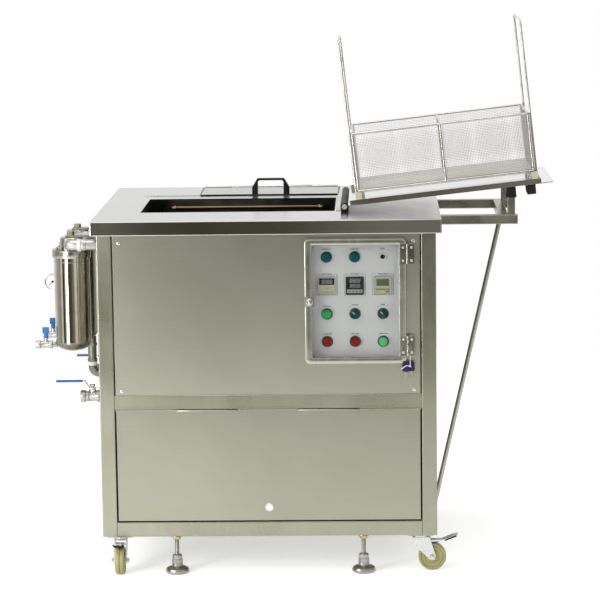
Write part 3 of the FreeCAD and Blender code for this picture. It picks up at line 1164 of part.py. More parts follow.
# ---- filters, pipes and valves on the left side ------------------------------------------------------
def filter_heads():
    """Filter heads: clamp ring with three closing bolts and the cap that takes the inlet."""
    ring_r, bowl_r, cap_r = FILTER_RING_DIA / 2.0, FILTER_DIA / 2.0, FILTER_CAP_DIA / 2.0
    seam = (FILTER_RING_BOTTOM + FILTER_RING_TOP) / 2.0
    pieces = []
    for y in FILTER_ROWS:
        head = turned([(0, seam), (ring_r, seam), (ring_r, FILTER_RING_TOP - 2), (ring_r - 2, FILTER_RING_TOP),
                       (cap_r, FILTER_RING_TOP), (cap_r, FILTER_CAP_TOP - 3), (cap_r - 3, FILTER_CAP_TOP),
                       (0, FILTER_CAP_TOP)], V(FILTER_X, y, 0), UP)
        collar = turned([(bowl_r + FIT, FILTER_RING_BOTTOM), (ring_r, FILTER_RING_BOTTOM), (ring_r, seam),
                         (bowl_r + FIT, seam)], V(FILTER_X, y, 0), UP)
        bolts = []
        for angle in (30, 150, 210, 330):
            turn = math.radians(angle)
            at = V(FILTER_X + (cap_r + 9) * math.cos(turn), y + (cap_r + 9) * math.sin(turn), FILTER_RING_TOP - 0.5)
            bolts.append(hexagon(10, at, 7))
        pieces.append(fused([head, collar] + bolts))
    return Part.makeCompound(pieces)


def filter_bowls():
    """Polished bowls with dished bottoms, hollow, each with its pleated cartridge standing inside."""
    r = FILTER_DIA / 2.0
    top = (FILTER_RING_BOTTOM + FILTER_RING_TOP) / 2.0 - FIT
    low = FILTER_BOTTOM
    pieces = []
    for y in FILTER_ROWS:
        base = V(FILTER_X, y, 0)
        outer = [(0, low), (0.55 * r, low + 1.5), (0.8 * r, low + 6), (0.93 * r, low + 13), (r, low + 25), (r, top)]
        inner = [(r - FILTER_WALL, top), (r - FILTER_WALL, low + 26), (0.8 * r, low + 10), (0.5 * r, low + 5),
                 (0, low + 4)]
        pieces.append(turned(outer + inner, base, UP))
        pieces.append(turned([(0, low + 4.3), (18, low + 8), (30, low + 14), (30, top - 30), (0, top - 30)], base, UP))
    return Part.makeCompound(pieces)


def filter_bracket():
    """Wall plate on the cabinet's side with a bar over each filter cap and the bolt that holds it."""
    side = -HALF + PANEL_SETBACK
    y0, y1 = FILTER_ROWS[0] - 20, FILTER_ROWS[1] + 20
    pieces = [block(side - 3, side, y0, y1, FILTER_CAP_TOP - 6, FILTER_CAP_TOP + 7)]
    for y in FILTER_ROWS:
        pieces.append(block(FILTER_X - 14, side - 1, y - 14, y + 14, FILTER_CAP_TOP, FILTER_CAP_TOP + 6))
        pieces.append(hexagon(17, V(FILTER_X, y, FILTER_CAP_TOP + 5), 11))
    bracket = fused(pieces)
    for y in FILTER_ROWS:
        inlet = V(side, y - PORT_REACH, PORT_Z)
        bracket = bracket.cut(rod(PORT_DIA + 2 * FIT, inlet - ACROSS * 5, inlet + ACROSS * 5))
    return bracket


def filter_pipework():
    """Inlet elbows of both filters, the return pipe from under the rear one, and the joint rings."""
    pieces = []
    enter = -HALF + PIPE_ENTRY - FIT
    for y in FILTER_ROWS:
        front = y - PORT_REACH
        cap = Part.makeCylinder(FILTER_CAP_DIA / 2.0, 60, V(FILTER_X, y, FILTER_RING_TOP))
        elbow = bent_rod(PORT_DIA, [V(FILTER_X, y, PORT_Z), V(FILTER_X, front, PORT_Z), V(enter, front, PORT_Z)],
                         [PORT_BEND])
        ring = rod(PORT_DIA + JOINT_OVER, V(JOINT_X, front, PORT_Z), V(JOINT_X + JOINT_LENGTH, front, PORT_Z))
        pieces.append(fused([elbow.cut(cap), ring]))
    y = FILTER_ROWS[1]
    down = bent_rod(RETURN_PIPE_DIA, [V(RETURN_PIPE_X, y, FILTER_BOTTOM + 20), V(RETURN_PIPE_X, y, RETURN_PIPE_Z),
                                      V(enter, y, RETURN_PIPE_Z)], [PORT_BEND])
    r = FILTER_DIA / 2.0
    low = FILTER_BOTTOM
    bowl = turned([(0, low), (0.55 * r, low + 1.5), (0.8 * r, low + 6), (0.93 * r, low + 13), (r, low + 25),
                   (r, low + 99), (0, low + 99)], V(FILTER_X, y, 0), UP)
    joint = rod(RETURN_PIPE_DIA + JOINT_OVER, V(RETURN_PIPE_X, y, RETURN_PIPE_Z + PORT_BEND),
                V(RETURN_PIPE_X, y, RETURN_PIPE_Z + PORT_BEND + JOINT_LENGTH))
    pieces.append(fused([down.cut(bowl), joint]))
    return Part.makeCompound(pieces)


def pressure_gauge():
    """Gauge case with rim and dial, on a bent siphon from the rear filter bowl."""
    y = FILTER_ROWS[1]
    r = GAUGE_DIA / 2.0
    case = turned([(0, 3), (r - 2.5, 3), (r - 2.5, 0), (r, 0), (r, GAUGE_DEPTH), (r - 3, GAUGE_DEPTH + 3),
                   (0, GAUGE_DEPTH + 3)], V(GAUGE_X, GAUGE_FRONT, GAUGE_Z), BACKWARD)
    siphon = bent_rod(9, [V(GAUGE_X, GAUGE_FRONT + GAUGE_DEPTH, GAUGE_Z), V(GAUGE_X, y, GAUGE_Z),
                          V(FILTER_X, y, GAUGE_Z)], [9])
    bowl = Part.makeCylinder(FILTER_DIA / 2.0, 300, V(FILTER_X, y, FILTER_BOTTOM))
    hub = rod(3, V(GAUGE_X, GAUGE_FRONT + 1.2, GAUGE_Z), V(GAUGE_X, GAUGE_FRONT + 4, GAUGE_Z))
    return fused([case, siphon.cut(bowl), hub])


def gauge_needle():
    """Pointer lying over the dial, free of it, round the hub, resting on its stop."""
    front = V(GAUGE_X, GAUGE_FRONT + 1.6, GAUGE_Z)
    hub = Part.makeCylinder(3.2, 0.9, front, BACKWARD)
    pointer = block(front.x - 0.8, front.x + 0.8, front.y, front.y + 0.9, front.z - 5, front.z + 14)
    needle = fused([hub, pointer])
    needle.rotate(front, BACKWARD, NEEDLE_REST)
    return needle.cut(rod(3 + 2 * RUN, front - BACKWARD * 3, front + BACKWARD * 3))


def valve_body(x, y, z):
    """Ball valve with its axis along X: nipple into the cabinet, hexagon end, ball housing, gland, stem."""
    r = VALVE_BODY_DIA / 2.0
    nipple = rod(VALVE_BODY_DIA - 10, V(-HALF + PIPE_ENTRY - 20, y, z), V(x + 22, y, z))
    body = turned([(0, -24), (r - 1, -24), (r, -22), (r, -12), (r - 2, -10), (r - 3, 8), (r - 1, 10), (r - 3, 12),
                   (r - 3, 18), (r, 19), (r, 31), (r - 2, 33), (0, 33)], V(x, y, z), V(-1, 0, 0))
    mouth = rod(VALVE_BODY_DIA - 14, V(x - 40, y, z), V(x - 14, y, z))
    gland = Part.makeCylinder(9, VALVE_STEM_RISE - 6, V(x, y, z))
    stem = Part.makeCylinder(VALVE_STEM_DIA / 2.0, VALVE_STEM_RISE, V(x, y, z))
    bolt = hexagon(13, V(x, y, z + VALVE_STEM_RISE), 6)
    return fused([nipple, body.cut(mouth), gland, stem, bolt])


def drain_valve_body(y):
    """Small drain valve screwed into the left side of a bowl, outlet pointing left."""
    r = DRAIN_BODY_DIA / 2.0
    length = DRAIN_BODY_LENGTH / 2.0
    body = turned([(0, -length), (r - 4, -length), (r - 4, -length + 8), (r, -length + 9), (r, -length + 18),
                   (r - 2, -length + 20), (r - 2, length - 14), (r, length - 12), (r, length), (6, length),
                   (6, length - 10), (0, length - 10)], V(DRAIN_X, y, DRAIN_Z), V(-1, 0, 0))
    nipple = rod(2 * r - 8, V(FILTER_X, y, DRAIN_Z), V(DRAIN_X + length, y, DRAIN_Z))
    nipple = nipple.cut(turned([(0, 0), (0.8 * FILTER_DIA / 2.0, 6), (0.93 * FILTER_DIA / 2.0, 13),
                                (FILTER_DIA / 2.0, 25), (FILTER_DIA / 2.0, 90), (0, 90)],
                               V(FILTER_X, y, FILTER_BOTTOM), UP))
    stem = Part.makeCylinder(3, 30, V(DRAIN_X, y, DRAIN_Z))
    gland = Part.makeCylinder(6, 18, V(DRAIN_X, y, DRAIN_Z))
    return fused([nipple, body, gland, stem])


def valve_bodies():
    """Two ball valves on the cabinet's side and a small drain valve on each filter."""
    bodies = [valve_body(*valve[:3]) for valve in (LOWER_VALVE, UPPER_VALVE)]
    return Part.makeCompound(bodies + [drain_valve_body(y) for y in FILTER_ROWS])


def valve_lever(x, y, z, length):
    """Flat lever cranked up clear of the valve, with a sleeve over its outer part."""
    seat = z + VALVE_STEM_RISE - 6 + FIT
    half = LEVER_WIDTH / 2.0
    high = seat + LEVER_RISE
    outline = [V(x + 8, -half, seat), V(x + 8, -half, seat + LEVER_THICK), V(x - 9, -half, seat + LEVER_THICK),
               V(x - 22, -half, high + LEVER_THICK), V(x - length, -half, high + LEVER_THICK),
               V(x - length, -half, high), V(x - 21, -half, high), V(x - 8, -half, seat)]
    sleeve = rounded_block(x - length - 2, x - 26, -half - 1, half + 1, high - 1.5, high + LEVER_THICK + 1.5,
                           ACROSS, 2.5)
    lever = fused([prism(outline, V(0, LEVER_WIDTH, 0)), sleeve])
    lever.translate(V(0, y, 0))
    return lever.cut(rod(VALVE_STEM_DIA + 2 * RUN, V(x, y, z), V(x, y, z + 60)))


def drain_handle(y):
    """Butterfly handle of a small drain valve."""
    seat = DRAIN_Z + 18 + FIT
    hub = Part.makeCylinder(6, 14, V(DRAIN_X, y, seat))
    wing = rounded_block(DRAIN_X - DRAIN_HANDLE / 2.0, DRAIN_X + DRAIN_HANDLE / 2.0, y - 2.5, y + 2.5,
                         seat + 12, seat + 29, BACKWARD, 3)
    handle = fused([hub, wing])
    return handle.cut(rod(6 + 2 * RUN, V(DRAIN_X, y, DRAIN_Z), V(DRAIN_X, y, DRAIN_Z + 30 + FIT)))


# ---- all nodes ------------------------------------------------------------------------------------
def make_nodes():
    """Every node of the part, in cabinet coordinates."""
    nodes = {
        "cabinet_frame": cabinet_frame(), "cabinet_panels": cabinet_panels(), "deck_top": deck_top(),
        "front_panel": front_panel(), "control_plate": control_plate(), "lamps_and_bezels": lamps_and_bezels(),
        "panel_timers": panel_timers(), "temperature_controller": temperature_controller(),
        "window_frame": window_frame(), "window_pane": window_pane(), "window_latch": window_latch(),
        "window_hinges": window_hinges(), "service_door": service_door(), "cam_lock": cam_lock(),
        "tank_liner": tank_liner(), "overflow_well": overflow_well(), "transducers": transducers(),
        "generator_box": generator_box(), "circulation_pump": circulation_pump(),
        "rear_cover": rear_cover(), "rear_cover_handle": rear_cover_handle(),
        "lid_panel": lid_panel(), "lid_handle": lid_handle(), "lid_hinge_barrel": lid_hinge_barrel(),
        "lid_hinge_base": lid_hinge_base(), "basket_frame": basket_frame(), "basket_handles": basket_handles(),
        "basket_mesh": basket_mesh(), "basket_feet": basket_feet(),
        "lid_bracket": lid_bracket(), "bracket_caps": bracket_caps(), "bracket_brace": bracket_brace(),
        "levelling_feet": levelling_feet(),
        "filter_heads": filter_heads(), "filter_bowls": filter_bowls(), "filter_bracket": filter_bracket(),
        "filter_pipework": filter_pipework(), "pressure_gauge": pressure_gauge(), "gauge_needle": gauge_needle(),
        "valve_bodies": valve_bodies(),
        "lower_valve_lever": valve_lever(*LOWER_VALVE), "upper_valve_lever": valve_lever(*UPPER_VALVE),
        "front_drain_handle": drain_handle(FILTER_ROWS[0]), "rear_drain_handle": drain_handle(FILTER_ROWS[1]),
        "start_button": push_button(COLUMNS[0], SELECTOR_ROW), "stop_button": push_button(COLUMNS[0], BUTTON_ROW),
        "heater_stop_button": push_button(COLUMNS[1], BUTTON_ROW),
        "drain_button": push_button(COLUMNS[2], BUTTON_ROW),
        "heater_selector": selector(COLUMNS[1], SELECTOR_ROW), "pump_selector": selector(COLUMNS[2], SELECTOR_ROW)}
    for name in CASTOR_AXES:
        nodes[name + "_fork"] = castor_fork(name)
        nodes[name + "_wheel"] = castor_wheel(name)
        if name in BRAKED:
            nodes[name + "_brake_pedal"] = brake_pedal(name)
    return nodes


NODES = make_nodes()
BOX = Part.makeCompound(list(NODES.values())).optimalBoundingBox(False, False)
ORIGIN_SHIFT = V(-(BOX.XMin + BOX.XMax) / 2.0, -(BOX.YMin + BOX.YMax) / 2.0, 0)

os.makedirs("parts", exist_ok=True)
for name, shape in NODES.items():
    shape.translate(ORIGIN_SHIFT)
    shape.exportStep("parts/" + name + ".step")
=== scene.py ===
import bpy
import bmesh
import json
from math import atan2, cos, pi, radians, sin, tan
from mathutils import Matrix, Vector


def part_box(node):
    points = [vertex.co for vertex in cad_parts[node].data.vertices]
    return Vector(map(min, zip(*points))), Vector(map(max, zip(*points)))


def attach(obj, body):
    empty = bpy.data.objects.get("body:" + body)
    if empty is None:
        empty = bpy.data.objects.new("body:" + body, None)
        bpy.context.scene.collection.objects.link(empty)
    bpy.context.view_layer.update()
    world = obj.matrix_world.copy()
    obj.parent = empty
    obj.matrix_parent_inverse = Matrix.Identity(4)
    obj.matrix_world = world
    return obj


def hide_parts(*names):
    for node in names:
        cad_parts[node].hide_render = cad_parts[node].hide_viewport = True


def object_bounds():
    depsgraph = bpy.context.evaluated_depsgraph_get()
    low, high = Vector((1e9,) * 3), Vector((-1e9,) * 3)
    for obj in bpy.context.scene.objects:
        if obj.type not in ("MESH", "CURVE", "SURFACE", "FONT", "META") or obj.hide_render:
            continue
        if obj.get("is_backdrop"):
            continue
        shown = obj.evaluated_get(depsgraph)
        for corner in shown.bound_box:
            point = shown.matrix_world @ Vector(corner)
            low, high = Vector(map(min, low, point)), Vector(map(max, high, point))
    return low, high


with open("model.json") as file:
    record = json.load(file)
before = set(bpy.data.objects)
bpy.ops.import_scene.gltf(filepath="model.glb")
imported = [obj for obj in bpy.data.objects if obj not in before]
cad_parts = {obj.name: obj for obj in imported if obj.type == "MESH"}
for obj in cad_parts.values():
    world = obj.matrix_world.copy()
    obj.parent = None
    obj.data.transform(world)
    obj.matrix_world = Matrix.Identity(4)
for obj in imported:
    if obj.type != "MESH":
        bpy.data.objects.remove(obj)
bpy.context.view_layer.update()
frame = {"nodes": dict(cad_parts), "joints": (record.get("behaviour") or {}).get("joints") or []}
nodes = frame["nodes"]
joints = {joint["name"]: joint for joint in frame["joints"]}


# ---- Cabinet frame ----
# The cabinet hangs on a frame of 40 mm square stainless tube. Posts and rails are sawn, butt welded
# and ground flush, so the satin grain runs along each bar and a thin line stays at each joint.
def put(tree, kind, inputs=None, **choices):
    """Adds a shader node: choices set its menus, inputs its sockets by name or number."""
    made = tree.nodes.new("ShaderNode" + kind)
    for name, value in choices.items():
        setattr(made, name, value)
    for name, value in (inputs or {}).items():
        if isinstance(value, bpy.types.NodeSocket):
            tree.links.new(value, made.inputs[name])
        else:
            made.inputs[name].default_value = value
    return made


def skin_group(name, **given):
    """A new node group that gives a Shade mask from 0 to 1 and a Height for a surface."""
    tree = bpy.data.node_groups.new(name, "ShaderNodeTree")
    for label, value in given.items():
        kind = "NodeSocketFloat" if isinstance(value, float) else "NodeSocketVector"
        tree.interface.new_socket(name=label, in_out="INPUT", socket_type=kind).default_value = value
    for label in ("Shade", "Height"):
        tree.interface.new_socket(name=label, in_out="OUTPUT", socket_type="NodeSocketFloat")
    place = put(tree, "TexCoord").outputs["Object"]
    return tree, tree.nodes.new("NodeGroupInput").outputs, tree.nodes.new("NodeGroupOutput").inputs, place


def noise(tree, place, scale, detail, roughness=0.5, distortion=0.0):
    return put(tree, "TexNoise", {"Vector": place, "Scale": scale, "Detail": detail, "Roughness": roughness,
                                  "Distortion": distortion}).outputs["Fac"]


def spread(tree, value, inputs, **choices):
    """A value mapped from one range to another."""
    return put(tree, "MapRange", {"Value": value, **inputs}, **choices).outputs[0]


def steel_grain():
    """Fine lines drawn out along one direction, under broad wiped smudges."""
    tree, given, result, place = skin_group("Steel grain", Stretch=(8.0, 700.0, 700.0), Smudge=5.0,
                                            Share=0.5)
    drawn = put(tree, "VectorMath", {0: place, 1: given["Stretch"]}, operation="MULTIPLY").outputs[0]
    lines = noise(tree, drawn, 1.0, 3.0, 0.65)
    smear = noise(tree, place, given["Smudge"], 4.0, 0.55, 0.6)
    wiped = spread(tree, smear, {"From Min": 0.35, "From Max": 0.65})
    mixed = put(tree, "Mix", {0: given["Share"], 2: lines, 3: wiped})
    tree.links.new(mixed.outputs[0], result["Shade"])
    tree.links.new(lines, result["Height"])
    return tree


STEEL_GRAIN = steel_grain()


def finish(name, dark, light, rough, skin, bump=0.0, metallic=0.0, sockets=None):
    """A material whose skin moves its colour and its roughness between two values, and lifts it by bump."""
    material = bpy.data.materials.new(name)
    material.use_nodes = True
    tree = material.node_tree
    shader = tree.nodes["Principled BSDF"]
    group, values = skin
    surface = put(tree, "Group", values, node_tree=group).outputs
    shade = surface["Shade"]
    colour = put(tree, "Mix", {0: shade, 6: (*dark, 1.0), 7: (*light, 1.0)}, data_type="RGBA")
    tree.links.new(colour.outputs[2], shader.inputs["Base Color"])
    worn = spread(tree, shade, {"To Min": rough[0], "To Max": rough[1]})
    tree.links.new(worn, shader.inputs["Roughness"])
    if bump:
        lift = put(tree, "Bump", {"Height": surface["Height"], "Distance": bump, "Strength": 1.0})
        tree.links.new(lift.outputs["Normal"], shader.inputs["Normal"])
    for label, value in {"Metallic": metallic, **(sockets or {})}.items():
        shader.inputs[label].default_value = value
    return material


def steel(name, dark, light, rough, stretch, smudge=(5.0, 0.5), bump=2e-5):
    """Stainless steel with its grain drawn out along one direction."""
    if isinstance(stretch, float):
        stretch = (stretch, stretch, stretch)
    skin = {"Stretch": stretch, "Smudge": smudge[0], "Share": smudge[1]}
    return finish(name, dark, light, rough, (STEEL_GRAIN, skin), bump, 1.0)


def dress(node, material, bevel=0.0):
    """Gives a carried-over solid its material and, for cut or folded sheet, a small rounded edge."""
    solid = nodes[node]
    solid.data.materials.clear()
    solid.data.materials.append(material)
    if bevel:
        solid.modifiers.new("joined", "WELD").merge_threshold = 1e-6
        rounded = solid.modifiers.new("rounded", "BEVEL")
        rounded.width = bevel
        rounded.segments = 2
        rounded.limit_method = "ANGLE"
        rounded.angle_limit = radians(40)
        rounded.harden_normals = True


frame_steel = steel("frame_satin_steel", (0.26, 0.26, 0.195), (0.35, 0.345, 0.27), (0.24, 0.34),
                    (60.0, 60.0, 9.0), (4.0, 0.6))
dress("cabinet_frame", frame_steel)

# ---- Sheets between the posts ----
# Side sheets, louvred back and floor tray are 2 mm stainless sheet with a long vertical grain.
# They sit just inside the tubes and are spot welded from behind, so no fixings show.
side_steel = steel("side_sheet_steel", (0.3, 0.3, 0.26), (0.42, 0.42, 0.37), (0.22, 0.36),
                   (500.0, 500.0, 6.0))
dress("cabinet_panels", side_steel)


# ---- Front panel ----
# The upper front is one sheet of brushed stainless with its grain lying across. Four countersunk
# cross-head screws hold its corners to the frame, and the control window is cut out of it.
def mesh_of(shape, name):
    """Turns a bmesh into mesh data, with its faces turned outward."""
    bmesh.ops.recalc_face_normals(shape, faces=shape.faces)
    data = bpy.data.meshes.new(name)
    shape.to_mesh(data)
    shape.free()
    return data


def piece(name, shape, material, body="cabinet", replaced=""):
    """A finished piece: shaded smooth with crisp edges, in its finish, riding on its body."""
    data = mesh_of(shape, name) if isinstance(shape, bmesh.types.BMesh) else shape
    made = bpy.data.objects.new(name, data)
    bpy.context.collection.objects.link(made)
    if not data.materials:
        data.materials.append(material)
    if data.polygons and not data.polygons[0].use_smooth:
        data.polygons.foreach_set("use_smooth", [True] * len(data.polygons))
        data.set_sharp_from_angle(angle=radians(38))
    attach(made, body)
    if replaced:
        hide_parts(replaced)
    return made


def facing(direction, at=(0, 0, 0)):
    """The matrix that stands a piece made along +Z up along a direction, at a place."""
    turned = Vector(direction).normalized().to_track_quat("Z", "Y").to_matrix().to_4x4()
    return Matrix.Translation(at) @ turned


def angles(count, arc=2 * pi):
    return [arc * i / count for i in range(count)]


def bridge(shape, lower, upper):
    for i in range(len(lower)):
        j = (i + 1) % len(lower)
        shape.faces.new((lower[i], lower[j], upper[j], upper[i]))


def cross_screw(radius):
    """Pan head screw standing up along Z: domed head with a cross recess cut into it."""
    shape = bmesh.new()
    arm, width, top = radius * 0.55, radius * 0.15, radius * 0.62
    rings = [[shape.verts.new((radius * r * cos(a), radius * r * sin(a), radius * z)) for a in angles(24)]
             for r, z in ((1.0, 0.0), (1.0, 0.25), (0.9, 0.5), (0.72, 0.62))]
    for lower, upper in zip(rings, rings[1:]):
        bridge(shape, lower, upper)
    plan = []
    for quarter in range(4):
        spin = Matrix.Rotation(radians(90 * quarter), 2)
        plan += [spin @ Vector(p) for p in ((width, width), (width, arm), (-width, arm))]
    cut = [shape.verts.new((p.x, p.y, top)) for p in plan]
    floor = [shape.verts.new((p.x * 0.8, p.y * 0.8, top - radius * 0.4)) for p in plan]
    edges = [shape.edges.new((a, b)) for a, b in zip(cut, cut[1:] + cut[:1])]
    edges += [shape.edges.get((a, b)) for a, b in zip(rings[-1], rings[-1][1:] + rings[-1][:1])]
    bmesh.ops.triangle_fill(shape, edges=edges, use_beauty=True)
    bridge(shape, cut, floor)
    shape.faces.new(floor)
    return shape


screw_steel = steel("screw_steel", (0.62, 0.62, 0.6), (0.8, 0.8, 0.78), (0.2, 0.34), 900.0)
screw_meshes = {}


def screw(name, at, direction=(0, -1, 0), radius=0.004, body="cabinet"):
    """Sets one cross-head screw; all screws of one size share a mesh."""
    if radius not in screw_meshes:
        screw_meshes[radius] = mesh_of(cross_screw(radius), "cross_head")
    made = piece(name, screw_meshes[radius], screw_steel, body)
    made.matrix_world = facing(direction, at)


brushed_steel = steel("brushed_front_steel", (0.35, 0.355, 0.285), (0.44, 0.44, 0.365), (0.3, 0.36),
                      (5.0, 600.0, 600.0), (1.4, 0.5))
dress("front_panel", brushed_steel, 0.0004)
panel_low, panel_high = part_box("front_panel")
SCREW_ASIDE, SCREW_LOW, SCREW_HIGH = 0.017, 0.0105, 0.044
for side, x in (("left", panel_low.x + SCREW_ASIDE), ("right", panel_high.x - SCREW_ASIDE)):
    for end, z in (("lower", panel_low.z + SCREW_LOW), ("upper", panel_high.z - SCREW_HIGH)):
        screw(f"panel_screw_{end}_{side}", (x, panel_low.y, z), radius=0.005)

# ---- Service door ----
# The lower compartment is closed by a folded stainless door on a long hinge under the middle rail.
# A quarter-turn cam lock with a chromed ring holds its lower edge.
door_steel = steel("brushed_door_steel", (0.28, 0.285, 0.225), (0.36, 0.365, 0.295), (0.28, 0.36),
                   (5.0, 600.0, 600.0), (1.6, 0.5))
dress("service_door", door_steel, 0.0005)
dress("cam_lock", screw_steel, 0.0004)
lock_at = Vector(joints["cam_lock_turn"]["pos_m"])


def move(shape, place):
    """Moves a shape by a matrix, or along by three lengths."""
    matrix = place if isinstance(place, Matrix) else Matrix.Translation(place)
    bmesh.ops.transform(shape, matrix=matrix, verts=shape.verts)
    return shape


def facing_front(x, y, z):
    return facing((0, -1, 0), (x, y, z))


def softened(points, radii, steps=3):
    """A flat outline whose inner corners are rounded: one radius for all, or one for each point."""
    points = [Vector((*point, 0)[:3]) for point in points]
    if isinstance(radii, (int, float)):
        radii = [radii] * len(points)
    result = [points[0]]
    for before, corner, after, radius in zip(points, points[1:], points[2:], radii[1:]):
        inward, outward = before - corner, after - corner
        reach = min(inward.length, outward.length) * 0.499
        half = inward.angle(outward) / 2
        if radius <= 0 or half > 1.53:
            result.append(corner)
            continue
        setback = min(radius / tan(half), reach)
        start, end = corner + inward.normalized() * setback, corner + outward.normalized() * setback
        for step in range(steps + 1):
            t = step / steps
            result.append((1 - t) ** 2 * start + 2 * t * (1 - t) * corner + t * t * end)
    return result + [points[-1]]


def lathe(profile, sides=40, radii=0.0, closed=False):
    """A turned shape round Z from (radius, height) points, with its corners rounded by radii."""
    shape = bmesh.new()
    rings = []
    outline = softened(list(profile) + list(profile[:1] if closed else ()), radii)
    for radius, height, _ in outline:
        if radius < 1e-7:
            rings.append([shape.verts.new((0, 0, height))])
        else:
            rings.append([shape.verts.new((radius * cos(a), radius * sin(a), height))
                          for a in angles(sides)])
    closed = (outline[0] - outline[-1]).length < 1e-7
    if closed:
        for vert in rings.pop():
            shape.verts.remove(vert)
    for lower, upper in zip(rings, rings[1:] + (rings[:1] if closed else [])):
        for i in range(sides):
            j = (i + 1) % sides
            corners = [lower[i % len(lower)], lower[j % len(lower)], upper[j % len(upper)],
                       upper[i % len(upper)]]
            corners = [vert for k, vert in enumerate(corners) if vert not in corners[:k]]
            if len(corners) > 2:
                shape.faces.new(corners)
    return shape


LOCK_RING = ((0.0093, 0.0), (0.0122, 0.0), (0.0122, 0.0012), (0.0112, 0.0024), (0.0098, 0.0024),
             (0.0093, 0.0018))
lock_ring = move(lathe(LOCK_RING, 40, 0.0003, True), facing_front(lock_at.x, lock_at.y - 0.0001, lock_at.z))
chrome = steel("polished_chrome", (0.55, 0.55, 0.55), (0.68, 0.68, 0.68), (0.06, 0.14), 300.0, (30.0, 0.6),
               0.0)
piece("lock_ring", lock_ring, chrome, body="service_door")

# ---- Deck ----
# The deck is one sheet of smooth mill-finish stainless, its edges folded down into a 38 mm skirt with
# a return lip. Corners are welded and polished, and the tank and well mouths are cut through it.
DECK_CORNER, DECK_FOLD, DECK_SHEET, LIP_DEPTH = 0.003, 0.0025, 0.002, 0.011
TANK_FLANGE, COVER_GAP, MOUTH_CORNER, WELL_DEEP = 0.02, 0.004, 0.004, 0.215
SEAM_REACH = 1e-6
deck_low, deck_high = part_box("deck_top")
deck_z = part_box("rear_cover_handle")[0].z - 0.0003
centre_x = (deck_low.x + deck_high.x) / 2
front_y = deck_low.y + 0.015
skirt_bottom = deck_low.z
tank_low, tank_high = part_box("tank_liner")
cover_low, cover_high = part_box("rear_cover")


def rounded_rectangle(wide, high, radius, steps=5):
    """Corner points of a rectangle round the origin, each corner an arc."""
    points = []
    for quarter, (sx, sy) in enumerate(((1, 1), (-1, 1), (-1, -1), (1, -1))):
        for step in range(steps + 1):
            angle = radians(90 * quarter + 90 * step / steps)
            points.append((sx * (wide / 2 - radius) + radius * cos(angle),
                           sy * (high / 2 - radius) + radius * sin(angle)))
    return points


def ring_loop(shape, low, high, z, corner, steps=4):
    """A rounded rectangle of vertices between two corners at one height."""
    middle = ((low[0] + high[0]) / 2, (low[1] + high[1]) / 2)
    outline = rounded_rectangle(high[0] - low[0], high[1] - low[1], max(corner, 1e-5), steps)
    return [shape.verts.new((middle[0] + x, middle[1] + y, z)) for x, y in outline]


def folded_deck():
    """The skirt's section swept round the deck, then the flat top filled in round its mouths."""
    shape = bmesh.new()
    top, under = deck_z, deck_z - DECK_SHEET
    fold = softened([(-LIP_DEPTH, skirt_bottom + DECK_SHEET), (-LIP_DEPTH, skirt_bottom), (0, skirt_bottom),
                     (0, top), (-0.02, top)], [0, 0.0004, DECK_FOLD, DECK_FOLD, 0], 4)
    inside = ((-LIP_DEPTH, skirt_bottom + DECK_SHEET), (-DECK_SHEET, skirt_bottom + DECK_SHEET),
              (-DECK_SHEET, under))
    strips = []
    for section in (fold, inside):
        loops = []
        for inset, z, *_ in section:
            low, high = (deck_low.x - inset, deck_low.y - inset), (deck_high.x + inset, deck_high.y + inset)
            loops.append(ring_loop(shape, low, high, z, DECK_CORNER + inset))
        for lower, upper in zip(loops, loops[1:]):
            bridge(shape, lower, upper)
        strips.append(loops)
    bmesh.ops.remove_doubles(shape, verts=strips[0][0] + strips[1][0], dist=SEAM_REACH)
    tank_mouth = ((tank_low.x + TANK_FLANGE, tank_low.y + TANK_FLANGE),
                  (tank_high.x - TANK_FLANGE, tank_high.y - TANK_FLANGE))
    well_mouth = ((cover_low.x - COVER_GAP, cover_low.y - COVER_GAP),
                  (cover_high.x + COVER_GAP, cover_low.y + WELL_DEEP))
    for z, rim in ((top, strips[0][-1]), (under, strips[1][-1])):
        edges = [shape.edges.get((a, b)) for a, b in zip(rim, rim[1:] + rim[:1])]
        for low, high in (tank_mouth, well_mouth):
            inner = ring_loop(shape, low, high, z, MOUTH_CORNER)
            edges += [shape.edges.new((a, b)) for a, b in zip(inner, inner[1:] + inner[:1])]
        bmesh.ops.triangle_fill(shape, edges=edges, use_beauty=False)
    for low, high in (tank_mouth, well_mouth):
        bridge(shape, *[ring_loop(shape, low, high, z, MOUTH_CORNER) for z in (under, top)])
    bmesh.ops.remove_doubles(shape, verts=shape.verts, dist=SEAM_REACH)
    return shape


deck_steel = steel("deck_mill_steel", (0.48, 0.48, 0.47), (0.58, 0.58, 0.575), (0.18, 0.28), 90.0,
                   (3.0, 0.7), 4e-6)
skirt_steel = steel("skirt_bright_steel", (0.42, 0.42, 0.38), (0.53, 0.53, 0.48), (0.05, 0.12),
                    (6.0, 500.0, 500.0), (3.0, 0.7), 2e-6)
deck_mesh = mesh_of(folded_deck(), "deck_sheet")
for deck_finish in (deck_steel, skirt_steel):
    deck_mesh.materials.append(deck_finish)
for face in deck_mesh.polygons:
    face.material_index = 1 if abs(face.normal.z) < 0.6 else 0
piece("deck_sheet", deck_mesh, deck_steel, replaced="deck_top")

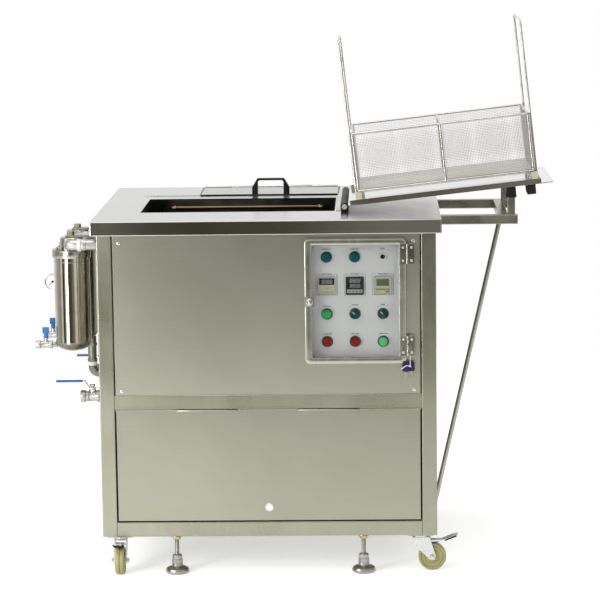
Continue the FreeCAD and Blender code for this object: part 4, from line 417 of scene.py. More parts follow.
# ---- Rear cover ----
# A lift-up stainless cover lies flush over the overflow well. It turns on knuckles at its back edge and has
# a moulded black bow handle, screwed on from below. A black strip along its front edge is a painted shadow
# for the shaded gap at the well's mouth.
cover_steel = steel("cover_satin_steel", (0.5, 0.5, 0.49), (0.6, 0.6, 0.595), (0.36, 0.48), 90.0, (3.0, 0.7),
                    4e-6)
# The hinge's steel is painted lighter than the deck's: painted light that cancels the dark band its knuckles
# reflect.
hinge_satin = steel("hinge_satin_steel", (0.7, 0.7, 0.69), (0.84, 0.84, 0.83), (0.5, 0.62), 200.0)
dress("rear_cover", cover_steel, 0.0004)
COVER_KNUCKLES, KNUCKLE_RADIUS = 5, 0.0028
COVER_LEAF, COVER_LEAF_WIDE, COVER_SCREW_IN = 0.0012, 0.009, 0.0055


def tube(bore, radius, low, high, sides=24, edge=0.0, closed=False):
    """A turned tube between two heights, or a rod where its bore is 0."""
    return lathe([(bore, low), (radius, low), (radius, high), (bore, high)], sides, edge, closed)


def round_off(shape, width, steps, degrees):
    """Rounds every edge that is sharper than an angle."""
    rims = [e for e in shape.edges if e.calc_face_angle(0) > radians(degrees)]
    bmesh.ops.bevel(shape, geom=rims, offset=width, segments=steps, affect="EDGES", profile=0.5)


def slab(outline, depth, edge=0.0, steps=2):
    """A plate from a flat outline in X and Y, pushed up by depth, with its edges rounded."""
    shape = bmesh.new()
    face = shape.faces.new([shape.verts.new((x, y, 0)) for x, y in outline])
    pushed = bmesh.ops.extrude_face_region(shape, geom=[face])["geom"]
    bmesh.ops.translate(shape, vec=(0, 0, depth),
                        verts=[v for v in pushed if isinstance(v, bmesh.types.BMVert)])
    bmesh.ops.recalc_face_normals(shape, faces=shape.faces)
    if edge:
        round_off(shape, edge, steps, 35)
    return shape


def block(low, high, edge=0.0005, steps=2):
    """A box between two corners with its edges rounded."""
    outline = ((low[0], low[1]), (high[0], low[1]), (high[0], high[1]), (low[0], high[1]))
    return move(slab(outline, high[2] - low[2], edge, steps), (0, 0, low[2]))


def joined(*shapes):
    """Several bmesh shapes in one."""
    whole = shapes[0]
    for other in shapes[1:]:
        data = bpy.data.meshes.new("part")
        other.to_mesh(data)
        other.free()
        whole.from_mesh(data)
        bpy.data.meshes.remove(data)
    return whole


cover_pin = Vector(joints["rear_cover_hinge"]["pos_m"])
knuckle_length = (cover_high.x - cover_low.x - 0.002) / COVER_KNUCKLES
hinge_parts = []
for i in range(0, COVER_KNUCKLES, 2):
    x, run = cover_low.x + 0.001 + i * knuckle_length, knuckle_length - 0.0003
    hinge_parts.append(move(tube(0, KNUCKLE_RADIUS, 0, run, 20, 0.0004),
                            facing((1, 0, 0), (x, cover_pin.y, cover_pin.z))))
    leaf_end = (x + run, cover_pin.y + COVER_LEAF_WIDE, deck_z + COVER_LEAF)
    hinge_parts.append(block((x, cover_pin.y, deck_z), leaf_end, 0.0003))
    for share in (0.2, 0.8):
        at = (x + share * knuckle_length, cover_pin.y + COVER_SCREW_IN, deck_z + COVER_LEAF)
        screw(f"cover_hinge_screw_{i}_{int(share * 10)}", at, (0, 0, 1), 0.0022)
piece("cover_hinge", joined(*hinge_parts), hinge_satin)


def moulded_skin():
    """The fine even grain of a moulding tool, under slow changes from handling."""
    tree, given, result, place = skin_group("Moulded skin", Grain=1800.0, Handling=25.0)
    grain = noise(tree, place, given["Grain"], 2.0)
    mixed = put(tree, "Mix", {0: 0.65, 2: grain, 3: noise(tree, place, given["Handling"], 3.0)})
    contrast = spread(tree, mixed.outputs[0], {"From Min": 0.3, "From Max": 0.7})
    tree.links.new(contrast, result["Shade"])
    tree.links.new(grain, result["Height"])
    return tree


MOULDED_SKIN = moulded_skin()


def moulded(name, dark, light, rough, grain=1800.0, bump=2e-5, handling=25.0, specular=0.5, **sockets):
    """A plastic, rubber or painted surface."""
    sockets = {"Specular IOR Level": specular,
               **{label.replace("_", " "): value for label, value in sockets.items()}}
    skin = (MOULDED_SKIN, {"Grain": grain, "Handling": handling})
    return finish(name, dark, light, rough, skin, bump, 0.0, sockets)


black_plastic = moulded("black_moulding", (0.006, 0.006, 0.007), (0.018, 0.018, 0.02), (0.4, 0.55),
                        specular=0.12)
BOW_SPAN, BOW_TOP, BOW_RISE, BOW_SHOULDER = 0.107, 0.077, 0.045, 0.0195
BOW_OPENING, BOW_BAR, BOW_DEPTH = 0.074, 0.005, 0.024


def turn(degrees, axis):
    return Matrix.Rotation(radians(degrees), 4, axis)


def loft(rings, closed=False, shape=None):
    """A skin over rings of points, with its ends closed; a closed one runs back to its first ring."""
    shape = shape or bmesh.new()
    loops = [[shape.verts.new(point) for point in ring] for ring in rings]
    for lower, upper in zip(loops, loops[1:] + (loops[:1] if closed else [])):
        bridge(shape, lower, upper)
    if not closed:
        shape.faces.new(loops[0][::-1])
        shape.faces.new(loops[-1])
    return shape


def bow_handle():
    """Bow handle standing on the origin, its opening along X: trapezium outside, rounded opening inside."""
    half, top, inside, under = BOW_SPAN / 2, BOW_TOP / 2, BOW_OPENING / 2, BOW_RISE - BOW_BAR
    outer = softened([(-half, 0), (-half, BOW_SHOULDER), (-top, BOW_RISE), (top, BOW_RISE),
                      (half, BOW_SHOULDER), (half, 0)], [0, 0.006, 0.007, 0.007, 0.006, 0], 5)
    inner = softened([(-inside, 0), (-inside, under), (inside, under), (inside, 0)],
                     [0, 0.008, 0.008, 0], 11)
    shape = loft([[(p.x, p.y, z) for p, z in ((a, 0), (b, 0), (b, BOW_DEPTH), (a, BOW_DEPTH))]
                  for a, b in zip(outer, inner)])
    bmesh.ops.recalc_face_normals(shape, faces=shape.faces)
    round_off(shape, 0.0014, 3, 60)
    return move(shape, turn(90, "X") @ Matrix.Translation((0, 0, -BOW_DEPTH / 2)))


cover_handle_low, cover_handle_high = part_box("rear_cover_handle")
handle_at = (cover_handle_low + cover_handle_high) / 2
cover_bow = move(bow_handle(), (handle_at.x, handle_at.y, cover_handle_low.z))
piece("cover_handle_bow", cover_bow, black_plastic, "rear_cover", "rear_cover_handle")
# Black strip along the cover's front edge: a painted shadow standing in for the gap in front of the cover.
SHADOW_OUT, SHADOW_IN, SHADOW_UP, SHADOW_DOWN = 0.0028, 0.0045, 0.0035, 0.0016
shadow_strip = block((cover_low.x, cover_low.y - SHADOW_OUT, deck_z - SHADOW_DOWN),
               (cover_high.x, cover_low.y + SHADOW_IN, deck_z + SHADOW_UP), 0.0012, 3)
piece("cover_edging", shadow_strip, black_plastic, "rear_cover")

# ---- Tank and well ----
# The tank is welded stainless sheet with a bronze-coloured return tube clipped along its back wall. Inside,
# the tank is painted near black as painted shade of its deep hollow; the overflow well behind it is made the
# same way.
# Near-black steel for the tank and well: painted shade standing in for the dark inside of their deep
# hollows.
tank_steel = steel("bath_worn_steel", (0.02, 0.02, 0.017), (0.075, 0.072, 0.062), (0.25, 0.5), 60.0,
                   (7.0, 0.8))
dress("tank_liner", tank_steel)
dress("overflow_well", tank_steel)
# The return tube is bronze-coloured and made darker still: painted shade for the hollow tank it lies in.
tube_steel = steel("tempered_tube", (0.09, 0.075, 0.045), (0.2, 0.165, 0.1), (0.25, 0.4),
                   (6.0, 500.0, 500.0))
TUBE_RADIUS, TUBE_HALF, TUBE_INSET, TUBE_DROP, TUBE_ASIDE = 0.0047, 0.215, 0.0105, 0.024, 0.012
return_tube = tube(0, TUBE_RADIUS, -TUBE_HALF, TUBE_HALF, 24, 0.001)
for end in (-1, 1):
    nut_at = (0, 0, end * (TUBE_HALF - 0.008) - 0.0055)
    return_tube = joined(return_tube, move(tube(TUBE_RADIUS, 0.0075, 0, 0.011, 6, 0.0006), nut_at))
move(return_tube, facing((1, 0, 0), ((tank_low.x + tank_high.x) / 2 + TUBE_ASIDE,
                                     tank_high.y - TANK_FLANGE - TUBE_INSET, deck_z - TUBE_DROP)))
piece("return_tube", return_tube, tube_steel)


# ---- Machinery in the lower compartment ----
# Transducers of cast aluminium are bonded under the tank. The pump's casting and the generator's
# painted case stand on the floor tray, out of sight while the door is shut.
def cast_skin():
    """Crystals of zinc plate or the sand grain of a casting: cells of uneven brightness and a low relief."""
    tree, given, result, place = skin_group("Cast skin", Cell=400.0)
    cells = put(tree, "TexVoronoi", {"Vector": place, "Scale": given["Cell"]})
    rough = noise(tree, place, given["Cell"], 4.0)
    bright = put(tree, "SeparateColor", {"Color": cells.outputs["Color"]})
    mixed = put(tree, "Mix", {0: 0.5, 2: bright.outputs[0], 3: rough})
    tree.links.new(mixed.outputs[0], result["Shade"])
    tree.links.new(rough, result["Height"])
    return tree


CAST_SKIN = cast_skin()


def cast(name, dark, light, rough, cell, bump=3e-5):
    """A casting or a plated surface."""
    return finish(name, dark, light, rough, (CAST_SKIN, {"Cell": cell}), bump, 1.0)


cast_aluminium = cast("cast_aluminium", (0.4, 0.4, 0.41), (0.58, 0.58, 0.59), (0.4, 0.6), 500.0, 5e-5)
grey_paint = moulded("generator_paint", (0.42, 0.43, 0.44), (0.5, 0.51, 0.52), (0.4, 0.55), 900.0, 3e-5,
                     12.0)
dress("transducers", cast_aluminium)
dress("circulation_pump", cast_aluminium)
dress("generator_box", grey_paint, 0.0008)

# ---- Control plate ----
# The controls sit in a shallow folded tray behind the window, painted off-white. Thin grey frames
# are printed round the three instruments, each open at the top in the middle.
plate_paint = moulded("control_plate_paint", (0.42, 0.415, 0.41), (0.47, 0.46, 0.46), (0.36, 0.46), 700.0,
                      2e-5, 9.0, 0.25)
dress("control_plate", plate_paint, 0.0003)
plate_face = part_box("control_plate")[1].y - 0.002
ink = moulded("label_ink", (0.012, 0.013, 0.015), (0.025, 0.026, 0.03), (0.5, 0.6))
INSTRUMENT_SPAN, LABEL_GAP, PRINT_UP = 0.057, 0.034, 0.003
INK_WIDTH, INK_RISE = 0.0007, 0.00012
timer_low, timer_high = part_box("panel_timers")
control_low, control_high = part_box("temperature_controller")
INSTRUMENT_SIZE = control_high.x - control_low.x
instrument_z = (control_low.z + control_high.z) / 2
columns = [timer_low.x + INSTRUMENT_SIZE / 2, (control_low.x + control_high.x) / 2,
           timer_high.x - INSTRUMENT_SIZE / 2]
half, gap = INSTRUMENT_SPAN / 2, LABEL_GAP / 2
strokes = ((-half, -half + 0.001, -half + INK_WIDTH, half), (half - INK_WIDTH, -half + 0.001, half, half),
           (-half, -half, half, -half + INK_WIDTH), (-half, half - INK_WIDTH, -gap, half),
           (gap, half - INK_WIDTH, half, half))
for x, label in zip(columns, ("left", "middle", "right")):
    middle = instrument_z + PRINT_UP
    lines = [block((x + left, plate_face - INK_RISE, middle + under),
                   (x + right, plate_face, middle + top), 0)
             for left, under, right, top in strokes]
    piece(f"printed_frame_{label}", joined(*lines), ink)

# ---- Push buttons, selectors and lamps ----
# Standard 22 mm switches: a ring screwed over the plate holds each one, and the threaded barrel with
# its contact block sits behind. Caps are glossy plastic; the lamps have ribbed teal lenses.
RING_OUTER, RING_BORE, RING_HEIGHT = 0.015, 0.012, 0.006
bezel_grey = moulded("switch_ring_grey", (0.035, 0.036, 0.036), (0.07, 0.07, 0.07), (0.35, 0.5),
                     specular=0.25)
lamp_black = moulded("lamp_ring_black", (0.008, 0.01, 0.01), (0.022, 0.024, 0.024), (0.35, 0.45),
                     specular=0.2)


def on_plate(shape, x, z, rise=0.0):
    """Turns a shape made along +Z to face the front, standing on the control plate."""
    return move(shape, facing_front(x, plate_face - rise, z))


def switch_base(height=RING_HEIGHT, bore=RING_BORE):
    """The ring in front of the plate, and behind it the threaded barrel with its contact block."""
    ring = [(bore, 0), (RING_OUTER, 0), (RING_OUTER, height * 0.7), (RING_OUTER - 0.0014, height),
            (bore + 0.0004, height), (bore, height - 0.0004)]
    ridges = [(0.011 - 0.0006 * (i % 2), -0.0016 - 0.0007 * i) for i in range(20)]
    barrel = [(0.0055, -0.0005), (0.011, -0.0005), *ridges, (0.0105, -0.018), (0.0105, -0.0375),
              (0.0055, -0.0375)]
    return joined(lathe(ring, 44, 0.0005, True), lathe(barrel, 28, closed=True))


def glossy(name, dark, light, rough=(0.22, 0.34), grain=600.0, bump=4e-6, handling=25.0):
    return moulded(name, dark, light, rough, grain, bump, handling, 0.1)


cap_green = glossy("cap_green", (0.012, 0.23, 0.05), (0.02, 0.28, 0.07))
cap_red = glossy("cap_red", (0.15, 0.006, 0.002), (0.2, 0.012, 0.004))
cap_pale = glossy("cap_pale_green", (0.045, 0.3, 0.095), (0.065, 0.36, 0.13))
switches = []
for node, colour, slot in (("start_button", cap_green, "green_plastic"),
                           ("stop_button", cap_red, "red_plastic"),
                           ("drain_button", cap_pale, "light_green_plastic"),
                           ("heater_stop_button", cap_red, "red_plastic")):
    low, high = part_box(node)
    x, z, rise = (low.x + high.x) / 2, (low.z + high.z) / 2, plate_face - low.y
    cap = [(0, -0.029), (0.004, -0.029), (0.004, 0.0034), (0.0117, 0.0034), (0.0117, rise - 0.001),
           (0.0108, rise - 0.0001), (0.0095, rise - 0.0006), (0.006, rise - 0.0011), (0, rise - 0.0013)]
    piece(node + "_cap", on_plate(lathe(cap, 40, 0.0004), x, z), colour, node, node)
    switches.append(on_plate(switch_base(), x, z))


def rounded_slab(wide, high, radius, depth, edge=0.0, steps=2, corner_steps=5):
    return slab(rounded_rectangle(wide, high, radius, corner_steps), depth, edge, steps)


teal = glossy("selector_teal", (0.002, 0.034, 0.034), (0.005, 0.062, 0.06))
pointer_white = glossy("pointer_white", (0.62, 0.62, 0.6), (0.75, 0.75, 0.73))
for node in ("heater_selector", "pump_selector"):
    x, _, z = joints[node + "_turn"]["pos_m"]
    rise = plate_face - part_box(node)[0].y
    disc = lathe([(0, -0.03), (0.004, -0.03), (0.004, 0.0012), (0.0117, 0.0012), (0.0117, 0.0072),
                  (0.0102, 0.0082), (0, 0.0084)], 40, 0.0006)
    wing = softened([(-0.0034, -0.0105), (-0.0042, 0.006), (-0.0034, 0.0104), (0.0034, 0.0104),
                     (0.0042, 0.006), (0.0034, -0.0105), (-0.0034, -0.0105)],
                    [0, 0.003, 0.002, 0.002, 0.003, 0.002, 0], 3)[:-1]
    grip = move(slab([p.xy for p in wing], rise - 0.008, 0.0012, 3),
                turn(45, "Z") @ Matrix.Translation((0, 0, 0.0078)))
    pointer = move(rounded_slab(0.0014, 0.0085, 0.0006, 0.0003, corner_steps=3),
                   turn(45, "Z") @ Matrix.Translation((0, 0.0055, rise - 0.0003)))
    piece(node + "_knob", on_plate(joined(disc, grip), x, z), teal, node, node)
    piece(node + "_pointer", on_plate(pointer, x, z), pointer_white, node)
    switches.append(on_plate(switch_base(0.0045), x, z))
piece("switch_rings", joined(*switches), bezel_grey, replaced="lamps_and_bezels")

lamp_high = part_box("lamps_and_bezels")[1]
lamp_z = lamp_high.z - RING_OUTER
lens_teal = glossy("lens_teal", (0.001, 0.042, 0.048), (0.002, 0.075, 0.082), (0.2, 0.3), 300.0, 0.0, 60.0)
lens_red = glossy("lens_dark_red", (0.03, 0.005, 0.008), (0.06, 0.009, 0.014), (0.12, 0.22), 300.0, 0.0,
                  60.0)
lens = [(0, 0.001), (0.0127, 0.001), (0.0127, 0.0045), (0.0134, 0.0056), (0.0128, 0.0078)]
lens += [(0.0128 * cos(radians(a)), 0.0078 + 0.0034 * sin(radians(a)))
         for a in (20, 40, 60, 75)] + [(0, 0.0112)]
for x, label in zip(columns, ("power", "heat")):
    ring = on_plate(switch_base(0.0052, 0.0128), x, lamp_z)
    piece(f"lamp_ring_{label}", ring, lamp_black)
    piece(f"lamp_lens_{label}", on_plate(lathe(lens, 44, 0.0004), x, lamp_z), lens_teal)
alarm_ring = lathe([(0.006, 0), (0.0105, 0), (0.0105, 0.002), (0.0092, 0.0034), (0.0066, 0.0036),
                    (0.006, 0.003)], 36, 0.0004, True)
alarm_ring = joined(alarm_ring, tube(0, 0.0058, -0.024, -0.001, 24))
piece("alarm_ring", on_plate(alarm_ring, columns[2], lamp_z), chrome)
red_dome = [(0, 0.0005), (0.006, 0.0005)]
red_dome += [(0.006 * cos(radians(a)), 0.003 + 0.0042 * sin(radians(a))) for a in range(0, 91, 15)]
piece("alarm_lens", on_plate(lathe(red_dome, 32), columns[2], lamp_z), lens_red)


def wording(name, text, size, x, z):
    """Small printed lettering on the control plate, its baseline centred at a place."""
    curve = bpy.data.curves.new(name, "FONT")
    curve.body = text
    curve.size = size
    curve.align_x = "CENTER"
    curve.extrude = INK_RISE / 2
    curve.offset = INK_SPREAD
    letters = bpy.data.objects.new(name, curve)
    bpy.context.collection.objects.link(letters)
    bpy.context.view_layer.update()
    data = bpy.data.meshes.new_from_object(letters)
    bpy.data.objects.remove(letters)
    data.transform(Matrix.Translation((x, plate_face - INK_RISE / 2, z)) @ turn(90, "X"))
    piece(name, data, ink)


start_z, stop_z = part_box("start_button")[1].z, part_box("stop_button")[1].z
LETTERS, SMALL_LETTERS, INK_SPREAD = 0.0048, 0.0046, 0.00016
for kind, z, first, words in (("lamp", lamp_high.z + 0.0045, 0, ("POWER ON", "HEAT ON", "LEVEL")),
                              ("instrument", instrument_z + 0.0295, 0,
                               ("CYCLE TIMER", "BATH HEAT", "WEEK TIMER")),
                              ("button", start_z + 0.0068, 0, ("CYCLE ON",)),
                              ("button", stop_z + 0.0068, 0, ("CYCLE OFF", "HEAT OFF", "DRAIN ON")),
                              ("selector", start_z + 0.0105, 1, ("HEATER", "PUMP"))):
    for x, word in zip(columns[first:], words):
        short = {"lamp": word[:5].strip(), "instrument": word[:4]}.get(kind, word.replace(" ", "_"))
        wording(f"{kind}_word_{short}", word, SMALL_LETTERS if kind == "instrument" else LETTERS, x, z)
for x in columns[1:]:
    for word, side in (("0", -1), ("1", 1)):
        wording(f"mark_{word}_{x:.3f}".replace("-", "m"), word, LETTERS, x + side * 0.0135, start_z + 0.0055)

# ---- Panel instruments ----
# Three 48 mm instruments are clipped into square holes from the front: a cycle timer with thumbwheels,
# a temperature controller with two rows of figures, and a weekly timer with a liquid crystal display.
SEGMENTS = ((0, 1, 0), (0, 0, 0), (0, -1, 0), (-1, 0.5, 1), (1, 0.5, 1), (-1, -0.5, 1), (1, -0.5, 1))
BEZEL_RISE, BEZEL_LIP, FACE_RISE, FIGURE_LEAN = 0.006, 0.0032, 0.0046, 0.12


def figure_row(count, wide, high):
    """A row of seven-segment figures in X and Y, centred on the origin, each segment a thin plate."""
    parts = []
    pitch = wide / count
    half_wide, half_high, stroke = pitch * 0.3, high / 2, high * 0.09
    for n in range(count):
        for sx, sy, upright in SEGMENTS:
            length = (half_high if upright else 2 * half_wide) - stroke * 0.9
            a, end = stroke / 2, length / 2
            bar = slab([(-end, 0), (-end + a, -a), (end - a, -a),
                        (end, 0), (end - a, a), (-end + a, a)], 0.0002)
            x, y = sx * half_wide, sy * half_high
            at = Matrix.Translation((x + pitch * (n + 0.5) - wide / 2 + FIGURE_LEAN * y, y, 0))
            parts.append(move(bar, at @ turn(90, "Z") if upright else at))
    return joined(*parts)


def instrument_case(name, x, material, node=""):
    """Square bezel with a sunk face and the body behind it."""
    size, hole = INSTRUMENT_SIZE, INSTRUMENT_SIZE - 2 * BEZEL_LIP
    levels = ((size, 0.0024, FACE_RISE - 0.0001), (size, 0.0024, BEZEL_RISE - 0.001),
              (size - 0.0016, 0.002, BEZEL_RISE), (hole + 0.0008, 0.0014, BEZEL_RISE),
              (hole, 0.0012, BEZEL_RISE - 0.0005), (hole, 0.0012, FACE_RISE - 0.0001))
    rim = loft([[(px, py, z) for px, py in rounded_rectangle(side, side, corner)]
                for side, corner, z in levels], True)
    depth = control_high.y - plate_face
    body = move(rounded_slab(size - 0.004, size - 0.004, 0.001, depth - 0.001, 0.0004), (0, 0, -depth))
    front = rounded_slab(size, size, 0.0024, FACE_RISE)
    piece(name, on_plate(joined(front, rim, body), x, instrument_z), material,
          replaced=node)


case_black = moulded("instrument_black", (0.01, 0.01, 0.011), (0.024, 0.024, 0.026), (0.35, 0.5), 2200.0,
                     specular=0.2)
case_tan = moulded("timer_tan", (0.33, 0.28, 0.17), (0.41, 0.35, 0.22), (0.4, 0.55), 2200.0)
case_beige = moulded("weekly_beige", (0.29, 0.275, 0.19), (0.37, 0.35, 0.25), (0.4, 0.55), 2200.0)
case_grey = moulded("instrument_grey", (0.28, 0.275, 0.245), (0.35, 0.34, 0.31), (0.4, 0.55), 2200.0)
smoked = glossy("smoked_display", (0.01, 0.011, 0.012), (0.02, 0.021, 0.022))
unlit = glossy("unlit_figures", (0.34, 0.34, 0.34), (0.5, 0.5, 0.5))
crystal = glossy("liquid_crystal", (0.075, 0.095, 0.07), (0.105, 0.13, 0.095))
crystal_ink = glossy("liquid_crystal_ink", (0.035, 0.045, 0.033), (0.05, 0.062, 0.045))
key_dark = moulded("key_dark", (0.06, 0.06, 0.055), (0.1, 0.1, 0.09), (0.4, 0.55))
key_yellow = moulded("key_yellow", (0.5, 0.36, 0.04), (0.6, 0.45, 0.06), (0.4, 0.55))
instrument_case("cycle_timer_case", columns[0], case_grey, "panel_timers")
instrument_case("controller_case", columns[1], case_black, "temperature_controller")
instrument_case("weekly_timer_case", columns[2], case_beige)
# Small flat parts on the faces: name, column, place, width, height, rise off the face, edge and material.
plates = [("cycle_timer_window", 0, 0, 0.0115, 0.0405, 0.0175, 0.0008, 0.0003, smoked),
          ("cycle_timer_front", 0, 0, -0.009, 0.0405, 0.0225, 0.0006, 0.0003, case_tan),
          ("cycle_timer_strip", 0, 0, -0.016, 0.033, 0.0018, 0.0009, 0.0003, key_dark),
          ("controller_window", 1, 0, 0.0075, 0.0405, 0.0275, 0.0008, 0.0003, smoked),
          ("controller_key_strip", 1, 0, -0.0145, 0.0405, 0.0085, 0.0008, 0.0003, case_grey),
          ("weekly_timer_display", 2, 0, 0.0085, 0.034, 0.019, 0.0006, 0.0003, crystal),
          ("weekly_timer_key_yellow", 2, -0.001, -0.0163, 0.0105, 0.0042, 0.0012, 0.0004, key_yellow),
          ("weekly_timer_key_right", 2, 0.0125, -0.0163, 0.0095, 0.0036, 0.0012, 0.0004, key_dark)]
for name, count, column, pitch, z, wide, high, rise, colour in (
        ("thumbwheel", 4, 0, 0.0066, -0.0063, 0.005, 0.0078, 0.0011, case_grey),
        ("controller_key", 4, 1, 0.0095, -0.0145, 0.0072, 0.0045, 0.0014, key_dark),
        ("weekly_timer_key", 6, 2, 0.0063, -0.01, 0.0052, 0.0032, 0.0012, key_dark)):
    plates += [(f"{name}_{i}", column, (i - (count - 1) / 2) * pitch, z, wide, high, rise, 0.0004, colour)
               for i in range(count)]
for name, column, x, z, wide, high, rise, edge, colour in plates:
    plate = rounded_slab(wide, high, min(wide, high) * 0.08, 0.0008, edge, 1, 2)
    place = (columns[column] + x, instrument_z + z, FACE_RISE + rise - 0.0008)
    piece(name, on_plate(plate, *place), colour)
# Rows of figures on them: name, column, place, how many, width, height, rise and material.
rows = [("cycle_timer_figures", 0, 0.001, 0.0115, 4, 0.029, 0.0105, 0.0008, unlit),
        ("controller_figures_upper", 1, 0.001, 0.0135, 4, 0.029, 0.0095, 0.0008, unlit),
        ("controller_figures_lower", 1, 0.001, 0, 4, 0.029, 0.0085, 0.0008, unlit),
        ("weekly_timer_figures", 2, 0, 0.009, 4, 0.025, 0.0095, 0.0006, crystal_ink)]
rows += [(f"thumbwheel_figure_{i}", 0, (i - 1.5) * 0.0066, -0.0063, 1, 0.0042, 0.0042, 0.0011, key_dark)
         for i in range(4)]
for name, column, x, z, count, wide, high, rise, colour in rows:
    place = (columns[column] + x, instrument_z + z, FACE_RISE + rise)
    piece(name, on_plate(figure_row(count, wide, high), *place), colour)

# ---- Window door over the controls ----
# A clear acrylic pane is held in a frame of brushed steel strip with mitred corners. It turns on two
# butt hinges at the right and is held shut by a turn latch at the left.
window_low, window_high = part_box("window_frame")
pane_low, pane_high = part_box("window_pane")
WINDOW_TALL, WINDOW_CORNER, STILE, RAIL, FRAME_SOFT = 0.334, 0.012, 0.0185, 0.016, 0.0013
FRAME_FORWARD, HOLE_CORNER = 0.0075, 0.0025
pin_x, pin_y, _ = joints["window_door_hinge"]["pos_m"]
window_x, window_z = (pane_low.x + pane_high.x) / 2, (pane_low.z + pane_high.z) / 2
window_wide = 2 * (window_x - window_low.x)
window_front, window_back = pane_low.y - FRAME_FORWARD, window_high.y
window_steel = steel("window_frame_steel", (0.34, 0.34, 0.275), (0.47, 0.47, 0.4), (0.2, 0.32),
                     (400.0, 400.0, 5.0), (9.0, 0.5))
deep, hole_wide, hole_tall = window_back - window_front, window_wide - 2 * STILE, WINDOW_TALL - 2 * RAIL
round_over = ((0, 0), (0, deep - FRAME_SOFT), (FRAME_SOFT * 0.3, deep - FRAME_SOFT * 0.3),
              (FRAME_SOFT, deep))
section = [(window_wide - 2 * inset, WINDOW_TALL - 2 * inset, WINDOW_CORNER - inset, z)
           for inset, z in round_over]
section += [(hole_wide + 2 * inset, hole_tall + 2 * inset, HOLE_CORNER + inset, z)
            for inset, z in reversed(round_over)]
surround = loft([[(x, y, z) for x, y in rounded_rectangle(wide, tall, corner)]
                 for wide, tall, corner, z in section], True)
move(surround, facing_front(window_x, window_back, window_z))
piece("window_surround", surround, window_steel, "window_door", "window_frame")
clear_acrylic = moulded("clear_acrylic", (0.93, 0.95, 0.94), (0.97, 0.985, 0.98), (0.0, 0.03), 200.0, 0.0,
                        12.0, Transmission_Weight=1.0, IOR=1.12)
pane = rounded_slab(pane_high.x - pane_low.x, pane_high.z - pane_low.z, 0.002, pane_high.y - pane_low.y,
                    0.0003, 1)
move(pane, facing_front(window_x, pane_high.y, window_z))
piece("window_sheet", pane, clear_acrylic, "window_door", "window_pane")

# ---- Turn latch ----
# A small square plate is riveted to the stile. The oval thumb turn on it has a spindle that carries a
# tongue behind the frame.
latch_steel = steel("latch_steel", (0.5, 0.5, 0.48), (0.68, 0.68, 0.66), (0.14, 0.28), 400.0)
latch_dark = steel("latch_plate_steel", (0.2, 0.2, 0.17), (0.34, 0.34, 0.3), (0.25, 0.4),
                   (400.0, 400.0, 6.0))
latch_at = Vector(joints["window_latch_turn"]["pos_m"])
LATCH_WIDE, LATCH_TALL, LATCH_THICK = 0.025, 0.027, 0.003
latch_plate = rounded_slab(LATCH_WIDE, LATCH_TALL, 0.0015, LATCH_THICK, 0.0005, corner_steps=3)
move(latch_plate, facing_front(latch_at.x, window_front, latch_at.z))
piece("latch_plate", latch_plate, latch_dark, "window_door")
knob_rise = window_front - LATCH_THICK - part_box("window_latch")[0].y - 0.0004
base_disc = lathe([(0, 0), (0.009, 0), (0.009, 0.0016), (0.0078, 0.0026), (0, 0.0026)], 40, 0.0004)
turn_grip = move(rounded_slab(0.0082, 0.0168, 0.004, knob_rise - 0.0024, 0.0018, 4, 6), (0, 0, 0.0022))
latch = joined(base_disc, turn_grip, tube(0, 0.004, -0.0125, 0.001, 24, 0.0004))
move(latch, facing_front(latch_at.x, window_front - LATCH_THICK - 0.0003, latch_at.z))
piece("latch_turn", latch, latch_steel, body="window_latch", replaced="window_latch")

# ---- Hinges of the window door ----
# Two pressed butt hinges, each with three knuckles on one pin. Four cross-head screws fix every hinge:
# two through the door's leaf and two through the leaf on the panel, which is packed out to its level.
HINGE_TALL, LEAF_WIDE, LEAF_THICK, KNUCKLE, FIT = 0.054, 0.018, 0.0015, 0.003, 0.0003
HINGE_UP, HINGE_DOWN, LEAF_SCREW_OUT, LEAF_SCREW_APART = 0.126, 0.12, 0.0112, 0.0175
leaf_steel = steel("hinge_leaf_steel", (0.28, 0.28, 0.23), (0.44, 0.44, 0.38), (0.14, 0.26),
                   (400.0, 400.0, 8.0), (20.0, 0.6))
for label, z in (("upper", window_z + HINGE_UP), ("lower", window_z - HINGE_DOWN)):
    third, foot = HINGE_TALL / 3, z - HINGE_TALL / 2
    leaves = {}
    for side in (1, -1):
        leaf = rounded_slab(LEAF_WIDE - 0.0006, HINGE_TALL - 0.0004, 0.0015, LEAF_THICK, FIT, 1, 3)
        leaves[side] = [move(leaf, facing_front(pin_x + side * (LEAF_WIDE / 2 + 0.0005), window_front, z))]
        body = "cabinet" if side > 0 else "window_door"
        for end in (-1, 1):
            at = (pin_x + side * LEAF_SCREW_OUT, window_front - LEAF_THICK, z + end * LEAF_SCREW_APART)
            screw(f"{label}_hinge_screw_{side + 1}_{end + 1}", at, radius=0.0033, body=body)
    for i in range(3):
        knuckle = tube(0, KNUCKLE, 0, third - FIT, 24, FIT)
        leaves[-1 if i == 1 else 1].append(move(knuckle, (pin_x, pin_y, foot + i * third + FIT / 2)))
    packing = block((pin_x + 0.0045, window_front, foot + 0.0005),
                    (pin_x + LEAF_WIDE - 0.0005, panel_low.y, foot + HINGE_TALL - 0.0005), 0.0004)
    piece(f"{label}_hinge_still", joined(*leaves[1], packing), leaf_steel,
          replaced="window_hinges" if label == "upper" else "")
    piece(f"{label}_hinge_moving", joined(*leaves[-1]), leaf_steel, body="window_door")


